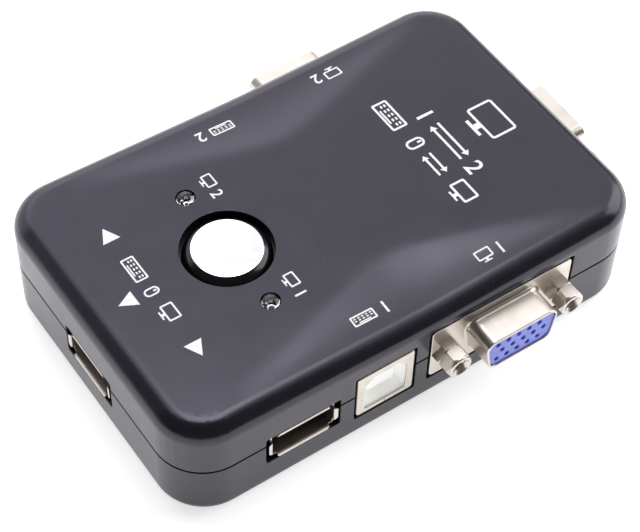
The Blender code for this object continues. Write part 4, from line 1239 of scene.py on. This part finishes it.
@dataclass
class DeviceSocket(Socket):
    """A flat USB socket: steel tube with four flared lips and grip springs, tongue and contacts."""

    mouth: tuple[float, float] = (12.5 * MM, 5.1 * MM)
    depth: float = 13.8 * MM
    sheet: float = 0.3 * MM
    lip: float = 0.6 * MM
    splay: float = 0.83 * MM
    relief: float = 0.9 * MM
    tongue: tuple[float, float] = (11.1 * MM, 1.84 * MM)
    tongue_drop: float = 0.55 * MM
    tongue_recess: float = 1.6 * MM
    grip_x: float = 3.2 * MM
    grip_width: float = 1.8 * MM
    grip_bow: tuple[Point2, ...] = ((3.9, 0.0), (5.0, 0.22), (6.4, 0.42), (7.6, 0.30), (8.6, 0.05))  # mm
    grip_slot_x: float = 1.15 * MM
    contact_places: tuple[float, ...] = (-3.5 * MM, -1.0 * MM, 1.0 * MM, 3.5 * MM)
    bend: float = 0.32 * MM
    tail: float = 1.5 * MM
    foot_start: float = 3.0 * MM
    opening: tuple[float, float] = (15.2 * MM, 6.9 * MM)

    def window(self) -> bmesh.types.BMesh:
        """The cutter for the case's opening."""
        return self.opening_cutter(self.opening, 0.0)

    def lip_strip(self, half_span: float, distance: float) -> bmesh.types.BMesh:
        """One lip above the mouth: it curls outwards as it comes forward, its corners rounded.

        Args:
            half_span: half of the lip's width.
            distance: how far it is from the mouth's middle.

        Returns:
            The mesh.
        """
        bend = self.bend
        curl = [(bend - z, distance + bend - y) for y, z in arc((0, 0), bend, 0.0, 90.0, 6)]
        inner = [(self.lip, distance), *curl]
        inner += [(0.0, distance + self.splay * share) for share in (0.7, 1.0)]
        strip = ribbon([(self.lip + 0.8 * MM, distance), *inner], -half_span, 2 * half_span)
        for vert in strip.verts:
            vert.co.x -= math.copysign(0.4 * MM * ((vert.co.z - distance) / self.splay) ** 2, vert.co.x)
        bmesh.ops.recalc_face_normals(strip, faces=strip.faces)
        if sum(face.normal.z for face in strip.faces) < 0:
            bmesh.ops.reverse_faces(strip, faces=strip.faces)
        bmesh.ops.solidify(strip, geom=list(strip.faces), thickness=-self.sheet)
        bmesh.ops.recalc_face_normals(strip, faces=strip.faces)
        return strip

    def shell(self) -> None:
        """Makes the tube, its lips and the slots round its grip springs."""
        x, z, sheet = self.mouth[0] / 2, self.mouth[1] / 2, self.sheet
        tube = block((-x - sheet, self.lip, -z - sheet), (x + sheet, self.depth, z + sheet))
        outer = bevel(tube, along(1), 0.45 * MM, 4)
        lips = []
        for turn, (half_span, distance) in enumerate(((x, z), (z, x), (x, z), (z, x))):
            strip = self.lip_strip(half_span - self.relief, distance)
            lips.append(moved(strip, Matrix.Rotation(turn * math.pi / 2, 4, "Y")))
        inner = bevel(block((-x, -MM, -z), (x, self.depth + MM, z)), along(1), 0.25 * MM, 3)
        shape = fused(outer, [inner], Way.CUT)
        shape = fused(shape, [merged(lips)], Way.JOIN)
        slots = []
        for side_x in (-1, 1):
            for side_z in (-1, 1):
                middle, half = side_x * self.grip_x, 0.12 * MM
                z_low, z_high = sorted((side_z * (z - 0.2 * MM), side_z * (z + MM)))
                for edge in (-1, 1):
                    at = middle + edge * self.grip_slot_x
                    slots.append(block((at - half, 4 * MM, z_low), (at + half, 9 * MM, z_high)))
        shape = fused(shape, [merged(slots)], Way.CUT)
        self.metal(shape)

    def springs(self) -> None:
        """Makes the four grip springs that bow into the mouth from above and below."""
        z = self.mouth[1] / 2
        tabs = []
        for side_x in (-1, 1):
            for side_z in (-1, 1):
                line = [(y * MM, side_z * (z - 0.02 * MM - bow * MM)) for y, bow in self.grip_bow]
                strip = ribbon(line, side_x * self.grip_x - self.grip_width / 2, self.grip_width)
                bmesh.ops.solidify(strip, geom=list(strip.faces), thickness=0.15 * MM)
                bmesh.ops.recalc_face_normals(strip, faces=strip.faces)
                tabs.append(strip)
        self.place.piece(f"{self.name}_springs", merged(tabs), Finish.NICKEL, "nickel", smooth=50.0)

    def insulator(self) -> None:
        """Makes the block at the back, the tongue, and the foot that stands on the board."""
        x, z = self.mouth[0] / 2, self.mouth[1] / 2
        back = self.depth - 3.5 * MM
        end = self.depth + self.tail
        wall = block((-x + 0.1 * MM, back, -z + 0.1 * MM), (x - 0.1 * MM, end, z - 0.1 * MM))
        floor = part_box(f"{self.name}_insulator")[0].z - self.place.matrix.translation.z
        under = -z - self.sheet - 0.3 * MM
        foot = bevel(block((-x, self.foot_start, floor), (x, end, under)), sharp(), 0.2 * MM, 2)
        tail = block((-x + MM, self.depth + 0.3 * MM, (floor + under) / 2), (x - MM, end - 0.3 * MM, 0.0))
        top = z - self.tongue_drop
        half = self.tongue[0] / 2
        tongue = block((-half, self.tongue_recess, top - self.tongue[1]), (half, back + MM, top))
        bevel(tongue, at_level(1, self.tongue_recess), 0.4 * MM, 3)
        shape = fused(wall, [tongue, tail, foot], Way.JOIN)
        self.plastic(shape, Finish.BLACK, "black_plastic")

    def contacts(self) -> None:
        """Makes the four contacts under the tongue."""
        under = self.mouth[1] / 2 - self.tongue_drop - self.tongue[1]
        strips = []
        half = 0.5 * MM
        for x in self.contact_places:
            strip = block((x - half, 2.6 * MM, under - 0.12 * MM), (x + half, 10 * MM, under + 0.1 * MM))
            strips.append(bevel(strip, sharp(), 0.07 * MM, 2))
        self.contact_strips(strips)

    def build(self) -> None:
        """Makes the socket's pieces."""
        self.shell()
        self.springs()
        self.insulator()
        self.contacts()


# ---------------------------------------------------------------------------------------------
# Button, lamps and electronics
# ---------------------------------------------------------------------------------------------


@dataclass
class SelectorButton:
    """The selector button: a plated disc, low-domed, set in a black ring, and the spring under it; the ring's
    glossy black is partly the real bezel and partly painted shade for the gap and the disc's dark rim
    reflection.
    """

    travel: float
    disc: float = 6.5 * MM
    crown: float = 0.25 * MM
    crease: float = 0.12 * MM
    fit: float = 0.05 * MM
    slope: float = 25.0  # where the ring's round starts and ends, in degrees from level
    steep: float = 70.0
    wall: float = 1.2 * MM
    wire: float = 0.35 * MM
    turns: int = 5
    turn_steps: int = 28

    def cap(self) -> None:
        """Makes the plated disc and the black ring that it is set in; the ring's black is partly painted
        shade, standing in for the shadow in the gap round the disc and the dark reflection on its rim.
        """
        low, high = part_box("button_cap")
        spot, radius = (low + high) / 2, (high.x - low.x) / 2
        ball = (self.disc**2 + self.crown**2) / (2 * self.crown)
        lean = math.asin(self.disc / ball)
        leans = [lean * step / 12 for step in range(12)]
        dome = [(ball * math.sin(a), high.z - ball + ball * math.cos(a)) for a in leans]
        rim, seat = high.z - self.crown, self.disc + self.fit
        dome += arc((self.disc - self.crease, rim - self.crease), self.crease, 90.0, 0.0, 5)
        dome += [(self.disc, low.z + self.wall), (0.0, low.z + self.wall)]
        ring = [(0.0, rim - self.crease), (seat, rim - self.crease)]
        start, end = math.radians(self.slope), math.radians(self.steep)
        bulge = (radius - self.fit - ring[-1][0]) / (math.sin(end) - math.sin(start))
        centre = (ring[-1][0] - bulge * math.sin(start), ring[-1][1] - bulge * math.cos(start))
        ring += arc(centre, bulge, 90.0 - self.slope, 90.0 - self.steep, 12)[1:]
        ring += [(radius, ring[-1][1] - 0.1 * MM), (radius, low.z), (radius - self.wall, low.z)]
        under = low.z + self.wall - 0.4 * MM
        ring += [(radius - self.wall, under), (0.0, under)]
        place = Place(Matrix.Translation((spot.x, spot.y, 0.0)), "button")
        well = bar(seat, low.z + self.wall - self.fit, high.z + MM, 128)
        holder = fused(turned(ring, 128), [well], Way.CUT)
        # Painted shade: the black gloss ring stands in partly for the shadow in the gap round the disc and
        # the dark reflection on its rim.
        place.piece("button_ring_painted_shade", holder, Finish.GLOSS, "black_plastic", "button_cap")
        place.piece("button_disc", turned(dome, 128), Finish.CHROME, "chrome", "button_cap")

    def spring(self) -> None:
        """Makes the coil spring."""
        low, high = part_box("return_spring")
        spot, radius = (low + high) / 2, (high.x - low.x) / 2 - self.wire
        steps = self.turn_steps
        count = self.turns * steps
        shape = bmesh.new()
        start, end = low.z + self.wire, high.z - self.wire
        bmesh.ops.create_circle(shape, cap_ends=True, segments=12, radius=self.wire)
        bmesh.ops.transform(
            shape, verts=shape.verts,
            matrix=Matrix.Translation((radius, 0.0, start)) @ Matrix.Rotation(math.pi / 2, 4, "X"),
        )
        tip = list(shape.faces)
        flat = 2.2 * self.wire
        for number in range(count):
            dead = number < steps or number >= count - steps
            rise = flat / steps if dead else (end - start - 2 * flat) / (count - 2 * steps)
            grown = bmesh.ops.extrude_face_region(shape, geom=tip, use_keep_orig=number == 0)
            tip = [item for item in grown["geom"] if isinstance(item, bmesh.types.BMFace)]
            step = Matrix.Translation((0.0, 0.0, rise)) @ Matrix.Rotation(math.tau / steps, 4, "Z")
            bmesh.ops.transform(shape, matrix=step, verts=fresh_verts(grown))
        bmesh.ops.recalc_face_normals(shape, faces=shape.faces)
        place = Place(Matrix.Translation((spot.x, spot.y, 0.0)))
        piece = place.piece("coil_spring", shape, Finish.ZINC, "steel", "return_spring", smooth=50.0)
        keep = 1.0 - self.travel / (high.z - low.z)
        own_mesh(piece)

    def build(self) -> None:
        """Makes the cap's two pieces and the spring."""
        self.cap()
        self.spring()


@dataclass
class Lamp:
    """A clear domed lamp with its metal cup and post inside, on two legs."""

    number: int
    radius: float = 1.66 * MM
    dome: float = 0.62  # its height as a share of a half sphere's
    rim: float = 1.9 * MM
    rim_thickness: float = 0.9 * MM
    length: float = 5.2 * MM
    cup_drop: float = 2.3 * MM
    leg: float = 0.5 * MM
    leg_spacing: float = 2.54 * MM

    def __post_init__(self) -> None:
        """Finds the lamp's place."""
        self.low, self.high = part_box(f"lamp_{self.number}")
        spot = (self.low + self.high) / 2
        self.place = Place(Matrix.Translation((spot.x, spot.y, 0.0)) @ Matrix.Rotation(math.pi / 2, 4, "Z"))

    def lens(self) -> None:
        """Makes the clear body."""
        top, base = self.high.z, self.high.z - self.length
        profile = [(0.0, base), (self.rim, base), (self.rim, base + self.rim_thickness)]
        profile += [(self.radius, base + self.rim_thickness + 0.1 * MM)]
        dome = arc((0.0, 0.0), self.radius, 0.0, 90.0, 14)
        profile += [(x, top + (z - self.radius) * self.dome) for x, z in dome]
        name, shape = f"lamp_{self.number}", turned(profile, 56)
        self.place.piece(f"{name}_lens", shape, Finish.RESIN, "clear_resin", name)

    def leads(self) -> None:
        """Makes the cup, the post beside it and the two legs."""
        top, base = self.high.z, self.high.z - self.length
        cup_top = top - self.cup_drop
        cup = turned([
            (0.0, cup_top - 1.1 * MM), (0.3 * MM, cup_top - 1.1 * MM), (0.5 * MM, cup_top),
            (0.42 * MM, cup_top), (0.2 * MM, cup_top - 0.35 * MM), (0.0, cup_top - 0.35 * MM),
        ], 28)
        half = self.leg / 2
        shapes = [shifted(cup, -0.2 * MM)]
        post = block((0.6 * MM, -0.2 * MM, cup_top - 1.4 * MM), (0.9 * MM, 0.2 * MM, cup_top - 0.1 * MM))
        shapes.append(bevel(post, sharp(), 0.08 * MM, 2))
        for side in (-1, 1):
            x = side * self.leg_spacing / 2
            shapes.append(block((x - half, -half, self.low.z), (x + half, half, base - 0.02 * MM)))
        self.place.piece(f"lamp_{self.number}_leads", merged(shapes), Finish.ZINC, "steel")

    def build(self) -> None:
        """Makes both pieces."""
        self.lens()
        self.leads()


class Electronics:
    """The pieces inside the case that keep their CAD shape."""

    FINISHES = {
        "circuit_board": Finish.BOARD, "button_carrier": Finish.BLACK, "switch_body": Finish.BLACK,
        "switch_plunger": Finish.WHITE, "chip_1": Finish.BLACK, "chip_2": Finish.BLACK,
        "chip_3": Finish.BLACK, "crystal": Finish.ZINC, "capacitor_1": Finish.SLEEVE,
        "capacitor_2": Finish.SLEEVE,
    }

    def dress(self, nodes: dict[str, bpy.types.Object]) -> None:
        """Gives each its finish."""
        for name, finish in self.FINISHES.items():
            mesh = nodes[name].data
            mesh.materials.clear()
            mesh.materials.append(finish.material)
            LOG.info("%s: dressed as %s", name, finish.value.name)


# ---------------------------------------------------------------------------------------------
# Printed marks
# ---------------------------------------------------------------------------------------------


@dataclass
class Sketch:
    """A flat drawing in X (to the right as read) and Y (up as read), made of thin closed patches."""

    stroke: float = 0.32 * MM
    shape: bmesh.types.BMesh = field(default_factory=bmesh.new)

    def patch(self, outline: Sequence[Point2]) -> "Sketch":
        """Fills an outline."""
        self.shape.faces.new([self.shape.verts.new((x, y, 0.0)) for x, y in outline])
        return self

    def frame(self, x: float, y: float, width: float, height: float, corner: float) -> "Sketch":
        """Draws a rounded rectangle's line, centred on a point."""
        rings = []
        for inset in (0.0, self.stroke):
            round_off = max(corner - inset, 0.05 * MM)
            outline = rounded_rectangle(width - 2 * inset, height - 2 * inset, round_off, 4)
            points = [self.shape.verts.new((x + a, y + b, 0.0)) for a, b in outline]
            rings += [self.shape.edges.new((p, q)) for p, q in zip(points, points[1:] + points[:1])]
        bmesh.ops.bridge_loops(self.shape, edges=rings)
        return self

    def bar(self, x: float, y: float, width: float, height: float) -> "Sketch":
        """Fills a rectangle, centred on a point."""
        a, b = width / 2, height / 2
        return self.patch([(x - a, y - b), (x + a, y - b), (x + a, y + b), (x - a, y + b)])

    def numeral(self, digit: str, x: float, y: float, height: float) -> "Sketch":
        """Writes a digit in a plain sans-serif face, centred on a point.

        Args:
            digit: what to write.
            x: the middle in X.
            y: the middle in Y.
            height: the digit's height.

        Returns:
            This sketch, to chain on.
        """
        curve = bpy.data.curves.new("numeral", "FONT")
        curve.body, curve.align_x = digit, "CENTER"
        curve.offset = 0.012
        obj = bpy.data.objects.new("numeral", curve)
        bpy.context.scene.collection.objects.link(obj)
        mesh = bpy.data.meshes.new_from_object(obj.evaluated_get(bpy.context.evaluated_depsgraph_get()))
        bpy.data.objects.remove(obj)
        xs, ys = [v.co.x for v in mesh.vertices], [v.co.y for v in mesh.vertices]
        grow = Matrix.Scale(height / (max(ys) - min(ys)), 4)
        centred = Matrix.Translation((-(min(xs) + max(xs)) / 2, -min(ys), 0.0))
        mesh.transform(Matrix.Translation((x, y - height / 2, 0.0)) @ grow @ centred)
        self.shape.from_mesh(mesh)
        bpy.data.meshes.remove(mesh)
        return self

    def display(self, x: float, y: float, size: float) -> "Sketch":
        """Draws a monitor on its foot."""
        self.frame(x, y + size * 0.16, size * 1.24, size * 0.82, size * 0.1)
        self.bar(x, y - size * 0.33, size * 0.2, size * 0.16)
        return self.bar(x, y - size * 0.45, size * 0.62, size * 0.1)

    def keyboard(self, x: float, y: float, size: float) -> "Sketch":
        """Draws a keyboard: a frame with two rows of keys and a space bar."""
        width = size * 1.9
        self.frame(x, y, width, size * 0.86, size * 0.1)
        count = 5
        for row in (0.17, -0.02):
            for column in range(count):
                offset = (column - (count - 1) / 2) * width / (count + 0.9)
                self.bar(x + offset, y + row * size, width * 0.09, size * 0.1)
        return self.bar(x, y - size * 0.22, width * 0.5, size * 0.09)

    def mouse(self, x: float, y: float, size: float) -> "Sketch":
        """Draws a mouse with its wheel."""
        self.frame(x, y, size * 0.62, size, size * 0.3)
        return self.bar(x, y + size * 0.22, self.stroke, size * 0.22)

    def arrows(self, x: float, y: float, width: float, height: float) -> "Sketch":
        """Draws an arrow each way, one above the other."""
        head = height * 0.24
        for side in (-1, 1):
            level = y + side * height * 0.24
            tip = x + side * width / 2
            neck = tip - side * head * 1.4
            tail = x - side * width / 2
            self.bar((neck + tail) / 2, level, abs(neck - tail), self.stroke)
            self.patch([(tip, level), (neck, level + side * head), (neck, level - side * head)])
        return self

    def triangle(self, side: float) -> "Sketch":
        """Fills a triangle that points to +X."""
        return self.patch([(side * 0.55, 0.0), (-side * 0.45, side * 0.52), (-side * 0.45, -side * 0.52)])


@dataclass
class Marks:
    """The white pad-printed marks on the top: numerals, arrows and pictograms, and no words."""

    ARROWS = ((-36.4, 13.8, 90.0), (-36.2, -15.4, -90.0), (-40.9, -0.6, 180.0))  # X and Y in mm, turn

    surface: Callable[[float, float], float]
    ink: float = 0.03 * MM
    sunk: float = 0.02 * MM
    step: float = 1.0 * MM

    def lay(self, name: str, sketch: Sketch, x: float, y: float, turn: float) -> None:
        """Lays a drawing on the top.

        Args:
            name: the piece's name.
            sketch: the drawing, which is used up.
            x, y: where its origin goes.
            turn: how far it is turned, in degrees anticlockwise.
        """
        shape = sketch.shape
        bmesh.ops.remove_doubles(shape, verts=shape.verts, dist=1e-7)
        moved(shape, Matrix.Translation((x, y, 0.0)) @ Matrix.Rotation(math.radians(turn), 4, "Z"))
        xs, ys = [v.co.x for v in shape.verts], [v.co.y for v in shape.verts]
        for values, normal in ((xs, Vector((1, 0, 0))), (ys, Vector((0, 1, 0)))):
            place = math.ceil(min(values) / self.step) * self.step
            while place < max(values):
                geom = [*shape.verts, *shape.edges, *shape.faces]
                bmesh.ops.bisect_plane(shape, geom=geom, dist=1e-7, plane_co=normal * place, plane_no=normal)
                place += self.step
        bmesh.ops.recalc_face_normals(shape, faces=shape.faces)
        down = [face for face in shape.faces if face.normal.z < 0]
        bmesh.ops.reverse_faces(shape, faces=down)
        grown = bmesh.ops.extrude_face_region(shape, geom=list(shape.faces), use_keep_orig=True)
        for vert in shape.verts:
            vert.co.z = self.surface(vert.co.x, vert.co.y) - self.sunk
        for vert in fresh_verts(grown):
            vert.co.z += self.sunk + self.ink
        bmesh.ops.recalc_face_normals(shape, faces=shape.faces)
        Place().piece(name, shape, Finish.PRINT, "")

    def build(self) -> None:
        """Lays every mark."""
        for number, (x, y, turn) in enumerate(self.ARROWS, 1):
            self.lay(f"print_arrow_{number}", Sketch().triangle(3.3 * MM), x * MM, y * MM, turn)
        devices = Sketch(0.34 * MM).keyboard(-5.6 * MM, 0.0, 3.0 * MM).mouse(0.2 * MM, 0.0, 2.9 * MM)
        devices.display(5.6 * MM, 0.0, 3.0 * MM)
        self.lay("print_devices", devices, -36.35 * MM, -0.8 * MM, -90.0)
        for digit, y in (("1", -13.4), ("2", 13.4)):
            lamp = Sketch().display(-1.5 * MM, 0.0, 2.5 * MM).numeral(digit, 1.9 * MM, 0.0, 2.3 * MM)
            self.lay(f"print_lamp_{digit}", lamp, -15.2 * MM, y * MM, -90.0)
        title = Sketch(0.5 * MM)
        for digit, x in (("1", -7.6), ("2", 7.6)):
            title.numeral(digit, x * MM, 0.0, 3.6 * MM)
        title.arrows(0.0, 0.0, 9.5 * MM, 3.4 * MM)
        self.lay("print_switch", title, 27.2 * MM, -1.0 * MM, -90.0)
        group = Sketch(0.46 * MM).keyboard(-10.6 * MM, 0.0, 3.9 * MM).mouse(-2.4 * MM, 0.0, 3.8 * MM)
        group.arrows(3.6 * MM, 0.0, 5.4 * MM, 3.2 * MM).display(11.6 * MM, 0.0, 4.0 * MM)
        self.lay("print_devices_large", group, 21.6 * MM, -0.5 * MM, -90.0)
        monitor = Sketch(0.5 * MM).display(0.0, 0.0, 6.9 * MM)
        self.lay("print_monitor", monitor, 35.9 * MM, -0.9 * MM, -90.0)
        for digit, side, turn in (("1", -1, 0.0), ("2", 1, 180.0)):
            host = Sketch().keyboard(-1.6 * MM, 0.0, 2.5 * MM).numeral(digit, 2.9 * MM, 0.0, 2.5 * MM)
            self.lay(f"print_host_{digit}", host, -7.2 * MM, side * 25.0 * MM, turn)
            video = Sketch().display(-1.3 * MM, 0.0, 2.6 * MM).numeral(digit, 2.1 * MM, 0.0, 2.5 * MM)
            self.lay(f"print_video_{digit}", video, 18.0 * MM, side * 25.6 * MM, turn)


# ---------------------------------------------------------------------------------------------
# Studio
# ---------------------------------------------------------------------------------------------


@dataclass
class Studio:
    """White table, soft lights and the camera."""

    azimuth: float = -35.978
    elevation: float = 51.722
    roll: float = 2.182
    distance: float = 351.646 * MM
    target: Vector = field(default_factory=lambda: Vector((-2.589, -3.22, 10.0)) * MM)
    lens: float = 108.27
    wall_direction: tuple[float, float, float] = (0.378, 0.520, 0.766)
    wall_edge: tuple[float, float] = (0.70, 0.90)
    wall_colour: Colour = (0.96, 0.94, 1.0)
    wall_strength: float = 1.1
    backdrop_strength: float = 1.2
    backdrop_edge: tuple[float, float] = (0.52, 0.72)
    dimness: float = 0.1
    table_half: float = 12.0
    table_glow: float = 0.68

    def camera(self) -> None:
        """Sets up the camera."""
        azimuth, elevation = math.radians(self.azimuth), math.radians(self.elevation)
        level = math.cos(elevation)
        back = Vector((math.sin(azimuth) * level, -math.cos(azimuth) * level, math.sin(elevation)))
        right = (-back).cross(Vector((0, 0, 1))).normalized()
        up = right.cross(-back)
        roll = math.radians(self.roll)
        turned_right = right * math.cos(roll) + up * math.sin(roll)
        turned_up = up * math.cos(roll) - right * math.sin(roll)
        axes = Matrix((turned_right, turned_up, back)).transposed().to_4x4()
        data = bpy.data.cameras.new("camera")
        data.lens, data.sensor_width, data.clip_start = self.lens, 36.0, 0.01
        camera = bpy.data.objects.new("camera", data)
        camera.matrix_world = Matrix.Translation(self.target + back * self.distance) @ axes
        bpy.context.scene.collection.objects.link(camera)
        bpy.context.scene.camera = camera

    def softbox(
        self, name: str, spot: Sequence[float], size: tuple[float, float], power: float, colour: Colour
    ) -> None:
        """Hangs a rectangular light that faces the object."""
        data = bpy.data.lights.new(name, "AREA")
        data.shape, data.size, data.size_y = "RECTANGLE", *size
        data.energy, data.color = power, colour
        light = bpy.data.objects.new(name, data)
        light.location = spot
        toward = Vector(spot) - Vector((0, 0, 10 * MM))
        light.rotation_euler = toward.to_track_quat("Z", "Y").to_euler()
        bpy.context.scene.collection.objects.link(light)

    def world(self) -> None:
        """Makes the surround: a broad pale wall high behind the object, and dim everywhere else."""
        graph = Graph("surround", world=True)
        wall = Vector(self.wall_direction).normalized()
        toward = graph.add(
            "ShaderNodeVectorMath", {"operation": "DOT_PRODUCT"}, graph.space, wall, output="Value",
        )
        glow = toward.ramp(*self.wall_edge) * self.wall_strength
        split = graph.add("ShaderNodeSeparateXYZ", {}, graph.space, output="Y")
        glow = glow + split.ramp(*self.backdrop_edge) * self.backdrop_strength
        graph.set(Color=rgba(self.wall_colour), Strength=glow + self.dimness)
        bpy.context.scene.world = graph.owner

    def table(self) -> None:
        """Lays the pale table top."""
        shape = bmesh.new()
        bmesh.ops.create_grid(shape, x_segments=2, y_segments=2, size=self.table_half)
        mesh = bpy.data.meshes.new("table")
        shape.to_mesh(mesh)
        shape.free()
        graph = Graph("table_white")
        tone = graph.noise(3.0, 3.0)
        colour = graph.mix(tone, (0.93, 0.93, 0.935, 1.0), (0.96, 0.96, 0.96, 1.0))
        graph.set(Base_Color=colour, Roughness=0.6)
        graph.set(Emission_Color=rgba((1.0, 1.0, 1.0)), Emission_Strength=self.table_glow)
        mesh.materials.append(graph.owner)
        table = bpy.data.objects.new("table", mesh)
        table.location.z = -0.05 * MM
        bpy.context.scene.collection.objects.link(table)

    def build(self) -> None:
        """Sets up the whole studio, with colours shown as they are lit."""
        bpy.context.scene.view_settings.view_transform = "Standard"
        self.camera()
        self.world()
        self.table()
        self.softbox("key", (0.122, 0.167, 0.773), (0.37, 0.37), 1.7, (1.0, 0.99, 0.98))
        self.softbox("side", (0.85, -0.15, 0.5), (0.8, 0.8), 6.0, (1.0, 1.0, 1.0))


# ---------------------------------------------------------------------------------------------
# Assembly
# ---------------------------------------------------------------------------------------------


def main() -> None:
    """Builds the object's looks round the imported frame."""
    logging.basicConfig(level=logging.INFO, format="%(message)s")
    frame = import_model()
    Studio().build()
    video = [
        VideoSocket("vga_computer_1", Side.COMPUTER_1),
        VideoSocket("vga_computer_2", Side.COMPUTER_2),
        VideoSocket("vga_monitor", Side.MONITOR),
    ]
    hosts = [
        HostSocket("usb_b_computer_1", Side.COMPUTER_1),
        HostSocket("usb_b_computer_2", Side.COMPUTER_2),
    ]
    devices = [
        DeviceSocket("usb_a_front", Side.COMPUTER_1),
        DeviceSocket("usb_a_back", Side.COMPUTER_2),
        DeviceSocket("usb_a_end", Side.DEVICE),
    ]
    sockets = [*video, *hosts, *devices]
    case = Case()
    case.cover_top([socket.window() for socket in sockets])
    case.cover_bottom([socket.window() for socket in sockets])
    for socket in sockets:
        socket.build()
    Fasteners().build()
    press = next(joint for joint in frame["joints"] if joint["name"] == "button_press")
    SelectorButton(travel=press["range_m"][1]).build()
    for number in (1, 2):
        Lamp(number).build()
    Electronics().dress(frame["nodes"])
    Marks(case.scoops.level).build()


if __name__ == "__main__":
    main()
